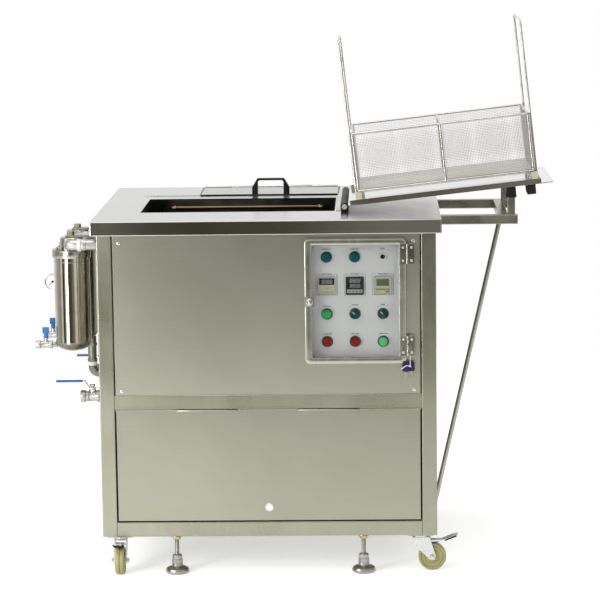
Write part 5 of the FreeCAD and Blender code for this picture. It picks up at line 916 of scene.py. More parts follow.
# ---- Keys on their tie ----
# Two spare keys with indigo plastic heads hang from the lower hinge on a white nylon cable tie.
def swept(points, radius, sides=12, bends=0.0, steps=6, closed=False):
    """A round wire or pipe along a path whose inner corners are rounded."""
    path = [Vector(p) for p in points] if closed else softened(points, bends, steps)
    rings, side_way = [], None
    for i, here in enumerate(path):
        ahead = path[(i + 1) % len(path)] if closed or i + 1 < len(path) else here + (here - path[i - 1])
        behind = path[i - 1] if closed or i else here - (ahead - here)
        way = ((ahead - here).normalized() + (here - behind).normalized()).normalized()
        side_way = side_way or way.orthogonal().normalized()
        side_way = (side_way - way * side_way.dot(way)).normalized()
        other = way.cross(side_way)
        share = max(0.4, way.dot((ahead - here).normalized()))
        reach = radius / (1 if share > 0.99 else share ** 0.5)
        rings.append([here + (side_way * cos(a) + other * sin(a)) * reach for a in angles(sides)])
    return loft(rings, closed)


KEY_HEAD, KEY_THICK, KEY_DROP, KEY_SIDE, KEY_ASIDE, KEY_STEPS = 0.0105, 0.0024, 0.032, 0.005, 0.001, 6
KEY_TIP, KEY_PITCH = -0.0275, 0.0034
TIE_REACH, TIE_ASIDE, TIE_FORWARD = 0.013, 0.006, 0.0024
key_brass = steel("key_brass", (0.42, 0.36, 0.24), (0.62, 0.55, 0.4), (0.2, 0.32), 300.0)
indigo = moulded("key_head_indigo", (0.012, 0.009, 0.06), (0.03, 0.022, 0.12), (0.35, 0.5), specular=0.25)
hang_z = window_z - HINGE_DOWN - HINGE_TALL / 2
notches = [(-0.0034, -0.004), (-0.0034, -0.0285), (-0.0018, -0.03), (0.0002, -0.0292)]
for i in range(KEY_STEPS):
    y = KEY_TIP + KEY_PITCH * i
    notches += [(0.0016 + 0.0011 * ((i * 5) % 3) / 2, y), (0.0034 - 0.0009 * (i % 2), y + 0.0017)]
notches += [(0.0034, -0.006), (0.0034, -0.004)]
for label, side, lean in (("left", -1, 3), ("right", 1, -5)):
    drop = Matrix.Translation((KEY_ASIDE + KEY_SIDE * side, KEY_THICK - 0.0012 + 0.0026 * side, -KEY_DROP))
    hang = Matrix.Translation((pin_x, pin_y, hang_z)) @ turn(lean, "Y") @ drop @ facing((0, -1, 0))
    head = rounded_slab(1.75 * KEY_HEAD, 2.5 * KEY_HEAD, 0.45 * KEY_HEAD, KEY_THICK, 0.0008, 3, 6)
    piece(f"key_head_{label}", move(move(head, (0, 0.25 * KEY_HEAD, 0)), hang), indigo)
    blade = move(slab(notches, 0.0018, 0.0002, 1), (0, 0, 0.0003))
    piece(f"key_blade_{label}", move(blade, hang), key_brass)
tie_white = moulded("cable_tie_white", (0.7, 0.7, 0.68), (0.82, 0.82, 0.8), (0.35, 0.5))
tie_loop = swept([(0, TIE_REACH * sin(a), TIE_REACH * cos(a)) for a in angles(40)], 0.0009, 8, closed=True)
tie_lock = block((-0.0022, -0.004, -TIE_REACH - 0.0032), (0.0022, 0.001, -TIE_REACH + 0.0014), 0.0006)
tie_tail = swept([(-0.0005, -0.0035, -TIE_REACH - 0.001), (-0.0105, -0.0055, -TIE_REACH + 0.0015),
                  (-0.0235, -0.0045, -TIE_REACH - 0.008)], 0.0011, 8, 0.008)
tie_at = (pin_x + TIE_ASIDE, pin_y - TIE_FORWARD, hang_z - TIE_REACH)
piece("cable_tie", move(joined(tie_loop, tie_lock, tie_tail), tie_at), tie_white)

# ---- Rail strip beside the rear cover ----
# A short stainless strip left of the rear cover covers the end of its mouth. Two screws hold it.
STRIP_LONG, STRIP_BACK, STRIP_DEEP, STRIP_THICK = 0.157, 0.583, 0.025, 0.0014
strip_x, strip_y = cover_low.x - 0.001 - STRIP_LONG / 2, front_y + STRIP_BACK + STRIP_DEEP / 2
strip = rounded_slab(STRIP_LONG, STRIP_DEEP, 0.0015, STRIP_THICK, 0.0004, 2, 3)
piece("cover_rail_strip", move(strip, (strip_x, strip_y, deck_z)), deck_steel)
for label, x in (("left", -0.046), ("right", 0.06)):
    screw(f"strip_screw_{label}", (strip_x + x, strip_y, deck_z + STRIP_THICK), (0, 0, 1), 0.0035)

# ---- Lid on its hinge ----
# The tank's lid is a folded stainless tray. It turns right over to the right on a long pin, in black
# sleeves welded along its edge, and then lies on the bracket as a drain board for the basket.
lid_axis = Vector(joints["lid_hinge"]["pos_m"])
lid_low, lid_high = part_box("lid_panel")
on_lid = Matrix.Translation((lid_axis.x, 0, lid_axis.z)) @ turn(-6.2, "Y")
lid_steel = steel("lid_mill_steel", (0.58, 0.58, 0.55), (0.74, 0.74, 0.72), (0.06, 0.14),
                  (6.0, 300.0, 300.0), (4.0, 0.6), 2e-6)
dress("lid_panel", lid_steel, 0.0007)
rubber_black = moulded("rubber_black", (0.005, 0.005, 0.006), (0.014, 0.014, 0.016), (0.55, 0.7), 1200.0,
                       4e-5, specular=0.12)
dress("lid_hinge_barrel", black_plastic)
lid_middle = (lid_low.y + lid_high.y) / 2
LUG_RADIUS, LUG_THICK, MIDDLE_LUG, LUG_GAP, LID_PIN, PIN_OUT = 0.01, 0.006, 0.004, 0.0003, 0.004, 0.004
NUT_HALF, NUT_RISE, HEX = 0.0065, 0.007, 1 / cos(pi / 6)
STRIP_RISE, STRIP_FROM_FRONT, STRIP_FROM_BACK = 0.0015, 0.034, 0.023
lug_foot = deck_z - lid_axis.z
side_view = [(LUG_RADIUS, lug_foot)] + [(LUG_RADIUS * cos(a), LUG_RADIUS * sin(a))
                                        for a in angles(21, pi * 1.05)]
side_view += [(-LUG_RADIUS, lug_foot)]
front_lug, back_lug = lid_low.y - LUG_GAP, lid_high.y + LUG_GAP
lugs = []
for start, thick in ((front_lug - LUG_THICK, LUG_THICK), (lid_middle - MIDDLE_LUG / 2, MIDDLE_LUG),
                     (back_lug, LUG_THICK)):
    standing = Matrix.Translation((lid_axis.x, start + thick, lid_axis.z)) @ turn(90, "X")
    lugs.append(move(slab(side_view, thick, 0.0008, 2), standing))
piece("lid_hinge_lugs", joined(*lugs), black_plastic, replaced="lid_hinge_base")
pin_start, pin_end = lid_low.y - LUG_THICK - PIN_OUT, lid_high.y + LUG_THICK + PIN_OUT
pin = move(tube(0, LID_PIN, 0, pin_end - pin_start, 28, 0.0008),
           facing((0, 1, 0), (lid_axis.x, pin_start, lid_axis.z)))
corner = NUT_HALF * HEX
for side, start in ((-1, front_lug - LUG_THICK), (1, back_lug + LUG_THICK)):
    nut = lathe([(LID_PIN, 0), (corner, 0), (corner, NUT_RISE - 0.001), (corner - 0.001, NUT_RISE),
                 (LID_PIN, NUT_RISE)], 6, 0.0004, True)
    pin = joined(pin, move(nut, facing((0, side, 0), (lid_axis.x, start, lid_axis.z))))
piece("lid_hinge_pin", pin, screw_steel)
hinge_strip = block((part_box("lid_hinge_base")[0].x, lid_low.y + STRIP_FROM_FRONT, deck_z),
                    (lid_axis.x - LUG_RADIUS - 0.002, lid_high.y - STRIP_FROM_BACK, deck_z + STRIP_RISE),
                    0.0004)
piece("lid_hinge_strip", hinge_strip, deck_steel)
HANDLE_ALONG, HANDLE_HALF, LID_SHEET = 0.512, 0.045, 0.002
under_lid = on_lid @ Matrix.Translation((HANDLE_ALONG, lid_middle, 0))
piece("lid_handle_bow", move(bow_handle(), under_lid @ turn(180, "Y") @ turn(90, "Z")), black_plastic,
      "lid", "lid_handle")
lid_up = on_lid.to_3x3() @ Vector((0, 0, 1))
for end in (-1, 1):
    at = under_lid @ Vector((0, end * HANDLE_HALF, LID_SHEET))
    screw(f"lid_handle_screw_{end + 1}", at, lid_up, 0.0036, "lid")
    screw(f"cover_handle_screw_{end + 1}", (handle_at.x + end * HANDLE_HALF, handle_at.y, cover_low.z),
          (0, 0, -1), 0.0036, "rear_cover")

# ---- Wire basket ----
# The basket is bent and welded from 6 mm stainless rod and lined with fine square mesh of straight
# wires in two layers. Two tall loops are welded to its ends, for lifting it out of the bath.
wire_steel = steel("basket_rod_steel", (0.42, 0.41, 0.38), (0.62, 0.61, 0.58), (0.16, 0.28), 40.0,
                   (12.0, 0.6))
mesh_steel = steel("basket_mesh_steel", (0.4, 0.385, 0.375), (0.52, 0.505, 0.495), (0.36, 0.5), 60.0,
                   (10.0, 0.6), 0.0)
# The floor's wire cloth is the walls' wire painted much lighter: painted light for the bright sheen it shows
# lying flat.
lit_floor_mesh_steel = steel("basket_floor_mesh_steel", (0.7, 0.68, 0.66), (0.84, 0.82, 0.8), (0.4, 0.55), 60.0,
                         (10.0, 0.6), 0.0)
dress("basket_frame", wire_steel)
dress("basket_handles", wire_steel)
MESH_START, MESH_END, MESH_FLOOR, MESH_RIM = 0.0446, 0.5154, 0.0366, 0.1835
MESH_PITCH, WIRE_RADIUS, WALL_INSET = 0.0044, 0.00042, 0.0008
mesh_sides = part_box("basket_mesh")
mesh_front, mesh_back = mesh_sides[0].y + 0.0002, mesh_sides[1].y - 0.0002


def wire_cloth(corner, first, second, through):
    """Two crossing layers of straight wires over a wall given by a corner and its two edges."""
    corner, through = Vector(corner), Vector(through) * WIRE_RADIUS
    layers = []
    for along, across, lift in ((first, second, through), (second, first, -through)):
        shape = bmesh.new()
        along, across = Vector(along), Vector(across)
        side, count = across.normalized() * WIRE_RADIUS, round(across.length / MESH_PITCH)
        for i in range(count + 1):
            start = corner + across * i / count + lift
            loft([[start + along * share + side * cos(a) + lift * sin(a) for a in angles(5)]
                  for share in (0, 1)], False, shape)
        layers.append(shape)
    return layers


long_way, deep_way = (MESH_END - MESH_START, 0, 0), (0, mesh_back - mesh_front, 0)
high_way = (0, 0, MESH_RIM - MESH_FLOOR)
floor_cloth = wire_cloth((MESH_START, mesh_front, MESH_FLOOR), long_way, deep_way, (0, 0, 1))
piece("basket_floor_cloth", move(joined(*floor_cloth), on_lid), lit_floor_mesh_steel, "basket")
cloth = []
for y in (mesh_front + WALL_INSET, mesh_back - WALL_INSET):
    cloth += wire_cloth((MESH_START, y, MESH_FLOOR), long_way, high_way, (0, 1, 0))
for x in (MESH_START + WALL_INSET, MESH_END - WALL_INSET):
    cloth += wire_cloth((x, mesh_front, MESH_FLOOR), deep_way, high_way, (1, 0, 0))
piece("basket_wire_cloth", move(joined(*cloth), on_lid), mesh_steel, "basket", "basket_mesh")

# ---- Feet of the basket ----
# Cream nylon blocks keep the basket off the tray. Each is screwed to a small angle welded to the
# floor ring of the basket.
nylon = moulded("cream_nylon", (0.52, 0.49, 0.37), (0.66, 0.63, 0.5), (0.35, 0.5), 900.0, 3e-5,
                Subsurface_Weight=0.15, Subsurface_Scale=0.004)
dress("basket_feet", nylon, 0.001)
FOOT_SIDE, FOOT_OUT, ANGLE_THICK, ANGLE_HALF = 0.018, 0.0035, 0.0015, 0.006
ANGLE_LOW, ANGLE_SCREW, ANGLE_HIGH = 0.012, 0.02, 0.0335
for along, inward in ((0.041, 1), (0.519, -1)):
    start = along + inward * (FOOT_SIDE / 2 + 0.0003)
    near, far = sorted((start, start + inward * ANGLE_THICK))
    for label, y in (("front", mesh_front - FOOT_OUT), ("back", mesh_back + FOOT_OUT)):
        angle = block((near, y - ANGLE_HALF, ANGLE_LOW), (far, y + ANGLE_HALF, ANGLE_HIGH), 0.0003, 1)
        piece(f"foot_angle_{label}_{inward + 1}", move(angle, on_lid), wire_steel, "basket")
        at = on_lid @ Vector((start + inward * ANGLE_THICK, y, ANGLE_SCREW))
        screw(f"foot_screw_{label}_{inward + 1}", at, on_lid.to_3x3() @ Vector((inward, 0, 0)),
              0.0029, "basket")

# ---- Bracket and brace ----
# The drain board rests on a bracket welded from 25 mm square tube, with a rubber cap on each of its
# two posts. A round diagonal brace carries it and is bolted to the cabinet's side.
bracket_steel = steel("bracket_satin_steel", (0.23, 0.23, 0.175), (0.35, 0.35, 0.285), (0.2, 0.36),
                      (7.0, 60.0, 60.0), (9.0, 0.6))
brace_steel = steel("brace_bright_steel", (0.28, 0.28, 0.23), (0.42, 0.42, 0.36), (0.24, 0.36),
                    (60.0, 60.0, 9.0), (9.0, 0.5))
dress("lid_bracket", bracket_steel)
dress("bracket_caps", rubber_black, 0.001)
dress("bracket_brace", brace_steel)
bracket_low, bracket_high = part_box("lid_bracket")
BRACKET_TUBE, ARM_DROP, CROSS_OUT, BEAD_RADIUS, BEAD_STEP = 0.025, 0.011, 0.16, 0.0016, 0.0016


def weld_bead(start, end):
    """A ground weld: a low rippled ridge between two places."""
    start, end = Vector(start), Vector(end)
    steps = max(6, int((end - start).length / BEAD_STEP))
    side = (end - start).normalized().orthogonal().normalized()
    other = (end - start).normalized().cross(side)
    swells = [BEAD_RADIUS * (0.82 + 0.18 * cos(i * 2.4)) for i in range(steps + 1)]
    return loft([[start.lerp(end, i / steps) + (side * cos(a) + other * sin(a)) * swell for a in angles(8)]
                 for i, swell in enumerate(swells)])


arm_top = deck_z - ARM_DROP
arm_under, cross_x = arm_top - BRACKET_TUBE, bracket_low.x + CROSS_OUT
beads = [weld_bead((x, y, arm_under + 0.002), (x, y, arm_top - 0.002))
         for y in (bracket_low.y + BRACKET_TUBE, bracket_high.y - BRACKET_TUBE)
         for x in (cross_x, cross_x + BRACKET_TUBE)]
piece("bracket_welds", joined(*beads), brace_steel)

# ---- Filters ----
# Two stainless filter housings hang outside the left side. Each polished bowl is clamped under a
# turned head by a ring, and a flat bar from the cabinet holds it at the top.
polished = steel("filter_polished_steel", (0.42, 0.385, 0.3), (0.6, 0.565, 0.48), (0.03, 0.08),
                 (300.0, 300.0, 5.0), (18.0, 0.5), 6e-6)
turned_steel = steel("turned_steel", (0.26, 0.255, 0.22), (0.44, 0.43, 0.38), (0.14, 0.28),
                     (200.0, 200.0, 900.0), (20.0, 0.5))
# The domed bowl ends are painted dark brown: painted shade standing in for the dark reflection of the ground
# under them.
shaded_bowl_end = steel("bowl_end_steel", (0.1, 0.095, 0.07), (0.22, 0.205, 0.165), (0.16, 0.3), 60.0, (18.0, 0.6))
dress("filter_heads", turned_steel, 0.0005)
dress("filter_bracket", bracket_steel, 0.0005)
bowl_low, bowl_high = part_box("filter_bowls")
BOWL_RADIUS, BOWL_DOME, BOWL_WALL, CLAMP_DROP = 0.048, 0.026, 0.002, 0.021
filter_x = (bowl_low.x + bowl_high.x) / 2
filter_rows = {"front": bowl_low.y + BOWL_RADIUS, "rear": bowl_high.y - BOWL_RADIUS}
inside = BOWL_RADIUS - BOWL_WALL
dome_line = [(BOWL_RADIUS * sin(a), BOWL_DOME * (1 - cos(a))) for a in angles(12, pi / 2) + [pi / 2]]
dome = dome_line + [(inside, BOWL_DOME)]
dome += [(r * inside / BOWL_RADIUS, z + BOWL_WALL) for r, z in reversed(dome_line[:-1])]
SEAM = [(-0.0004, -0.0016), (0.0005, -0.001), (0.0007, 0), (0.0005, 0.001), (-0.0004, 0.0016)]
seams = []
for label, y in filter_rows.items():
    standing = Matrix.Translation((filter_x, y, bowl_low.z))
    wall = tube(inside, BOWL_RADIUS, BOWL_DOME, bowl_high.z - bowl_low.z, 96, closed=True)
    piece(f"{label}_bowl", move(wall, standing), polished,
          replaced="filter_bowls" if label == "front" else "")
    piece(f"{label}_shaded_bowl_end", move(lathe(dome, 96), standing), shaded_bowl_end)
    for z in (bowl_low.z + BOWL_DOME, bowl_high.z - CLAMP_DROP):
        seams.append(move(lathe([(BOWL_RADIUS + out, up) for out, up in SEAM], 56), (filter_x, y, z)))
piece("bowl_seams", joined(*seams), turned_steel)

# ---- Pipes of the filters ----
# Stainless elbows lead from the caps through the cabinet's side, and a bent pipe returns from under
# the rear filter. White thread-seal rings show at the joints.
pipe_steel = steel("pipe_steel", (0.3, 0.295, 0.27), (0.5, 0.495, 0.47), (0.3, 0.44), 40.0, (16.0, 0.6))
return_steel = steel("return_pipe_steel", (0.12, 0.115, 0.095), (0.24, 0.23, 0.2), (0.3, 0.44), 40.0,
                     (16.0, 0.6))
seal_white = moulded("seal_white", (0.55, 0.55, 0.54), (0.72, 0.72, 0.71), (0.5, 0.65), 500.0, 6e-5)
PORT_RADIUS, PORT_REACH, PORT_BEND, CAP_RADIUS, PORT_DROP = 0.015, 0.05, 0.022, 0.03, 0.016
PIPE_IN, JOINT_OUT, JOINT_RUN, SINK = 0.0394, 0.056, 0.011, 0.0005
RETURN_RADIUS, RETURN_OUT, RETURN_DROP = 0.012, 0.046, 0.091
side_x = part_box("cabinet_frame")[0].x
port_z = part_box("filter_heads")[1].z - PORT_DROP
joint_x = side_x - JOINT_OUT
ring = [(PORT_RADIUS - 0.0003, 0), (PORT_RADIUS + 0.0016, 0.0006)]
for i in range(5):
    ring += [(PORT_RADIUS + 0.0019, 0.0012 + 0.002 * i), (PORT_RADIUS + 0.0014, 0.0022 + 0.002 * i)]
ring += [(PORT_RADIUS - 0.0003, JOINT_RUN)]
for label, y in filter_rows.items():
    front = y - PORT_REACH
    elbow = swept([(filter_x, y - CAP_RADIUS + 0.003, port_z), (filter_x, front, port_z),
                   (side_x + PIPE_IN, front, port_z)], PORT_RADIUS, 32, PORT_BEND, 10)
    coupling = move(tube(PORT_RADIUS - SINK, PORT_RADIUS + 0.0016, 0, 0.012, 32, 0.0006),
                    facing((1, 0, 0), (joint_x + JOINT_RUN + 0.0005, front, port_z)))
    piece(f"inlet_elbow_{label}", joined(elbow, coupling), pipe_steel,
          replaced="filter_pipework" if label == "front" else "")
    piece(f"seal_ring_{label}", move(lathe(ring, 36), facing((1, 0, 0), (joint_x, front, port_z))),
          seal_white)
return_x, return_z, rear_y = side_x - RETURN_OUT, bowl_low.z - RETURN_DROP, filter_rows["rear"]
returning = swept([(return_x, rear_y, bowl_low.z + 0.012), (return_x, rear_y, return_z),
                   (side_x + PIPE_IN, rear_y, return_z)], RETURN_RADIUS, 28, PORT_BEND, 10)
for z in (return_z + PORT_BEND + JOINT_RUN, bowl_low.z - 0.014):
    collar = tube(RETURN_RADIUS - SINK, RETURN_RADIUS + 0.0019, 0, 0.009, 6, 0.0006)
    returning = joined(returning, move(collar, (return_x, rear_y, z)))
piece("return_bend", returning, return_steel)
seal = lathe([(RETURN_RADIUS + out, up) for out, up in ((-0.0003, 0), (0.0018, 0.0008), (0.0015, 0.0055),
                                                        (0.0018, 0.0102), (-0.0003, JOINT_RUN))], 28)
piece("seal_ring_return", move(seal, (return_x, rear_y, return_z + PORT_BEND)), seal_white)

# ---- Pressure gauge ----
# A small gauge on a bent siphon: pressed stainless case, white printed dial under a clear lens and a
# black pointer.
gauge_low, gauge_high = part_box("pressure_gauge")
GAUGE_RADIUS, GAUGE_DEEP, SIPHON_RADIUS = 0.0215, 0.02, 0.0045
gauge_x, gauge_z = gauge_low.x + GAUGE_RADIUS, gauge_high.z - GAUGE_RADIUS
face_front = facing_front(gauge_x, gauge_low.y, gauge_z)
case = lathe([(0, -0.0033), (0.0189, -0.0033), (0.0192, -0.0008), (0.0202, 0), (0.0213, -0.0006),
              (GAUGE_RADIUS, -0.003), (0.0206, -0.0045), (0.0206, -GAUGE_DEEP),
              (0.0185, -GAUGE_DEEP - 0.003), (0, -GAUGE_DEEP - 0.003)], 56)
bowl_side = filter_x - BOWL_RADIUS
siphon = swept([(gauge_x, gauge_low.y + GAUGE_DEEP + 0.001, gauge_z), (gauge_x, rear_y, gauge_z),
                (bowl_side + 0.001, rear_y, gauge_z)], SIPHON_RADIUS, 20, 0.009, 8)
union = move(tube(SIPHON_RADIUS, 0.0075, 0, 0.009, 6, 0.0005),
             facing((1, 0, 0), (bowl_side - 0.0092, rear_y, gauge_z)))
hub = tube(0, 0.00145, -0.0034, -0.0013, 16)
piece("gauge_case", joined(move(joined(case, hub), face_front), siphon, union), chrome,
      replaced="pressure_gauge")
dial_white = moulded("dial_white", (0.78, 0.78, 0.76), (0.86, 0.86, 0.84), (0.35, 0.45), 600.0, 0.0, 40.0)
piece("gauge_dial", move(tube(0.0016, 0.0186, -0.0032, -0.0029, 48), face_front), dial_white)
DIAL_MARKS, LONG_EVERY, DIAL_SWEEP = 31, 5, 270
marks = []
for i in range(DIAL_MARKS):
    angle = DIAL_SWEEP / 2 - DIAL_SWEEP * i / (DIAL_MARKS - 1)
    half, start = (0.0003, 0.0135) if i % LONG_EVERY == 0 else (0.00018, 0.0148)
    marks.append(move(block((-half, start, -0.0029), (half, 0.0168, -0.00282), 0), turn(angle, "Z")))
piece("gauge_marks", move(joined(*marks), face_front), ink)
needle_black = moulded("needle_black", (0.012, 0.012, 0.012), (0.03, 0.03, 0.03), (0.4, 0.5))
dress("gauge_needle", needle_black)

# ---- Ball valves ----
# Two threaded ball valves stand out of the cabinet's side, with flat steel levers in blue plastic
# sleeves. A small drain valve with a butterfly handle is screwed into the bottom of each bowl.
valve_plate = cast("valve_nickel", (0.3, 0.3, 0.27), (0.5, 0.5, 0.47), (0.28, 0.42), 350.0)
dress("valve_bodies", valve_plate, 0.0003)
blue_plastic = glossy("lever_sleeve_blue", (0.03, 0.1, 0.27), (0.06, 0.16, 0.36))
LEVER_WIDE, LEVER_THICK, LEVER_RISE, SLEEVE_FROM_PIVOT = 0.014, 0.003, 0.019, 0.0262
SLEEVE_GROWTH = ((0, 0.72), (0.02, 0.92), (0.05, 1.0), (0.4, 0.9), (0.7, 0.93), (0.94, 1.0), (0.985, 0.95),
                 (1.0, 0.8))
sleeve_section = rounded_rectangle(LEVER_WIDE + 0.0018, LEVER_THICK + 0.003, 0.0024, 4)
for node in ("lower_valve_lever", "upper_valve_lever"):
    pivot = Vector(joints[node + "_turn"]["pos_m"])
    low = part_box(node)[0]
    tip, top = low.x + 0.002 - pivot.x, LEVER_RISE + LEVER_THICK
    flat = rounded_slab(0.017, LEVER_WIDE, 0.003, LEVER_THICK, 0.0004, corner_steps=4)
    crank = slab([(-0.006, 0), (-0.0095, 0.0003), (-0.0205, LEVER_RISE - 0.0003), (-0.024, LEVER_RISE),
                  (tip, LEVER_RISE),
                  (tip, top), (-0.0232, top), (-0.0192, top - 0.0006), (-0.0082, LEVER_THICK),
                  (-0.006, LEVER_THICK)],
                 LEVER_WIDE - 0.002, 0.0004)
    standing = Matrix.Translation((pivot.x, pivot.y + LEVER_WIDE / 2 - 0.001, low.z)) @ turn(90, "X")
    lever = joined(move(flat, (pivot.x - 0.0005, pivot.y, low.z)), move(crank, standing))
    piece(node + "_plate", lever, screw_steel, node, node)
    start, end, middle = low.x + 0.0002, pivot.x - SLEEVE_FROM_PIVOT, low.z + LEVER_RISE + LEVER_THICK / 2
    sleeve = loft([[(start + (end - start) * share, pivot.y + y * grow, middle + z * (0.6 + 0.4 * grow))
                    for y, z in sleeve_section] for share, grow in SLEEVE_GROWTH])
    piece(node + "_sleeve", sleeve, blue_plastic, node)
dress("front_drain_handle", blue_plastic, 0.0006)
dress("rear_drain_handle", blue_plastic, 0.0006)

# ---- Castors ----
# Four 75 mm swivel castors of pressed, zinc-plated steel stand under the corners. Their wheels are moulded
# in cream nylon with a groove round the tread, filled with a black band as painted shade of the groove; the
# front two have brake pedals.
zinc = cast("zinc_plate", (0.46, 0.47, 0.46), (0.68, 0.69, 0.68), (0.2, 0.36), 260.0)
wheel_nylon = moulded("wheel_nylon", (0.26, 0.24, 0.085), (0.39, 0.365, 0.175), (0.35, 0.5), 700.0, 5e-5,
                      Subsurface_Weight=0.12, Subsurface_Scale=0.004)
WHEEL_RADIUS, TREAD_HALF, HUB_HALF, HUB_RADIUS, AXLE_BORE = 0.0375, 0.0125, 0.014, 0.014, 0.0043
SEAM_HALF, SEAM_DEEP, TREAD_DISH, AXLE_HEAD_OUT = 0.0008, 0.0009, 0.003, 0.0214
side_profile = [(AXLE_BORE, HUB_HALF), (HUB_RADIUS - 0.002, HUB_HALF), (HUB_RADIUS, HUB_HALF - 0.002),
                (HUB_RADIUS + 0.002, TREAD_HALF - TREAD_DISH), (0.0195, TREAD_HALF - 0.0035),
                (0.0205, TREAD_HALF - 0.0015),
                (0.0265, TREAD_HALF - 0.0015), (0.0275, TREAD_HALF - TREAD_DISH),
                (0.0295, TREAD_HALF - TREAD_DISH), (0.0312, TREAD_HALF), (WHEEL_RADIUS - 0.003, TREAD_HALF),
                (WHEEL_RADIUS - 0.001, TREAD_HALF - 0.0025),
                (WHEEL_RADIUS, TREAD_HALF - 0.0055), (WHEEL_RADIUS, SEAM_HALF),
                (WHEEL_RADIUS - SEAM_DEEP, SEAM_HALF * 0.4)]
wheel_profile = side_profile + [(r, -z) for r, z in reversed(side_profile)]
wheel_mesh = mesh_of(lathe(wheel_profile, 64, 0.0007, True), "castor_wheel")
# A black band filling the tread's groove: painted shade of the groove.
groove_shade_mesh = mesh_of(tube(WHEEL_RADIUS - 0.002, WHEEL_RADIUS - 0.0002, -SEAM_HALF, SEAM_HALF, 64, 0.0002,
                         True), "wheel_seam")
PEDAL_STATIONS = ((0.0215, 0.0826, 0.011), (0.04, 0.0826, 0.011), (0.058, 0.083, 0.011),
                  (0.066, 0.0852, 0.0125),
                  (0.078, 0.0905, 0.0148), (0.09, 0.0952, 0.0142), (0.0975, 0.0972, 0.011),
                  (0.1015, 0.0978, 0.006))
FLANGE, PEDAL_THICK, PEDAL_TIP = 0.0035, 0.0015, 0.095


def pedal_section(x, half):
    """A channel pressed from sheet, its flanges shallower at the tip."""
    inner, drop = half - PEDAL_THICK, FLANGE if x < PEDAL_TIP else FLANGE * 0.5
    return ((-half, -drop), (-half, PEDAL_THICK * 0.6), (-half + 0.0008, PEDAL_THICK),
            (half - 0.0008, PEDAL_THICK),
            (half, PEDAL_THICK * 0.6), (half, -drop), (inner, -drop), (inner, 0), (-inner, 0),
            (-inner, -drop))


def grip_section(x, half):
    """A plastic shoe pushed on under the pedal's tip, its edge showing all round."""
    left = [(-half - 0.0009, -0.0028), (-half - 0.0009, -0.0004), (-half - 0.0001, -0.0002),
            (-half + 0.0012, -0.0038)]
    return left + [(-y, z) for y, z in reversed(left)] + [(half - 0.001, -0.0052), (-half + 0.001, -0.0052)]


def pressed(stations, section):
    return loft([[(x, y, z + up) for y, up in section(x, half)] for x, z, half in stations])


for corner in ("front_left", "front_right", "rear_left", "rear_right"):
    fork, wheel_body = corner + "_fork", corner + "_wheel"
    swivel, axle = Vector(joints[corner + "_swivel"]["pos_m"]), Vector(joints[corner + "_roll"]["pos_m"])
    trail = axle - swivel
    at_castor = Matrix.Translation((swivel.x, swivel.y,
                                    0)) @ Matrix.Rotation(atan2(trail.y, trail.x), 4, "Z")
    dress(fork, zinc, 0.0007)
    wheel = piece(wheel_body + "_moulding", wheel_mesh, wheel_nylon, wheel_body, wheel_body)
    groove_shade = piece(wheel_body + "_seam", groove_shade_mesh, rubber_black, wheel_body)
    for turning in (wheel, groove_shade):
        turning.matrix_world = facing(joints[corner + "_roll"]["axis"], axle)
    heads = []
    for side in (-1, 1):
        head = lathe([(0, 0), (0.0062, 0), (0.0062, 0.0012), (0.0048, 0.0028), (0.0026, 0.0034),
                      (0, 0.0035)], 28, 0.0004)
        heads.append(move(head, at_castor @ facing((0, side, 0),
                                                   (trail.to_2d().length, side * AXLE_HEAD_OUT, axle.z))))
    piece(corner + "_axle_heads", joined(*heads), zinc, fork)
    if corner.startswith("front"):
        body = corner + "_brake_pedal"
        barrel = move(tube(0.0026, 0.0044, -0.0105, 0.0105, 28, closed=True),
                      facing((0, 1, 0), (0.022, 0, 0.081)))
        pedal = move(joined(pressed(PEDAL_STATIONS, pedal_section), barrel), at_castor)
        piece(corner + "_pedal_plate", pedal, zinc, body, body)
        grip = move(pressed(PEDAL_STATIONS[3:-1], grip_section), at_castor)
        piece(corner + "_pedal_grip", grip, rubber_black, body)
        pad = move(block((0.033, -0.0105, 0.0768), (0.0505, 0.0105, 0.0824), 0.0012, 3), at_castor)
        piece(corner + "_brake_pad", pad, rubber_black, body)

# ---- Levelling feet ----
# Four screw feet take the weight once the machine stands in its place: turned domed pads with a hexagon,
# threaded stems, and passivated lock nuts under the rails.
foot_steel = steel("foot_turned_steel", (0.24, 0.235, 0.22), (0.42, 0.415, 0.39), (0.2, 0.34),
                   (30.0, 30.0, 900.0), (25.0, 0.5))
brassy_zinc = cast("passivated_zinc", (0.33, 0.26, 0.12), (0.55, 0.47, 0.26), (0.22, 0.38), 300.0)
feet_low, feet_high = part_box("levelling_feet")
PAD_RADIUS, PAD_RISE, STEM_RADIUS, RAIL_UNDER, NUT_BORE = 0.032, 0.026, 0.006, 0.104, 0.0058
THREAD_TURNS, THREAD_PITCH, THREAD_DEEP = 28, 0.00175, 0.0005
pad_profile = [(0, 0.0), (0.029, 0.0), (PAD_RADIUS, 0.0035), (PAD_RADIUS, 0.0085), (0.0295, 0.0135),
               (0.021, 0.018), (0.0165, 0.0195), (0.0145, 0.0225), (0.0145, PAD_RISE), (0, PAD_RISE)]
thread = [(0, PAD_RISE - 0.001), (STEM_RADIUS, PAD_RISE - 0.001), (STEM_RADIUS, 0.05)]
for i in range(THREAD_TURNS):
    up = THREAD_PITCH * i
    thread += [(STEM_RADIUS - THREAD_DEEP, 0.0506 + up), (STEM_RADIUS, 0.0514 + up)]
thread += [(STEM_RADIUS - THREAD_DEEP, feet_high.z - 0.0012), (0.0045, feet_high.z), (0, feet_high.z)]
collar = [(NUT_BORE, 0.038), (0.0128, 0.038), (0.0132, 0.0392), (0.0132, 0.0482), (0.0118, 0.0503),
          (NUT_BORE, 0.0503)]
washer = [(0.0066, -0.0022), (0.018, -0.0022), (0.0184, -0.0015), (0.018, -0.0001), (0.0066, -0.0001)]
pads, nuts = [], []
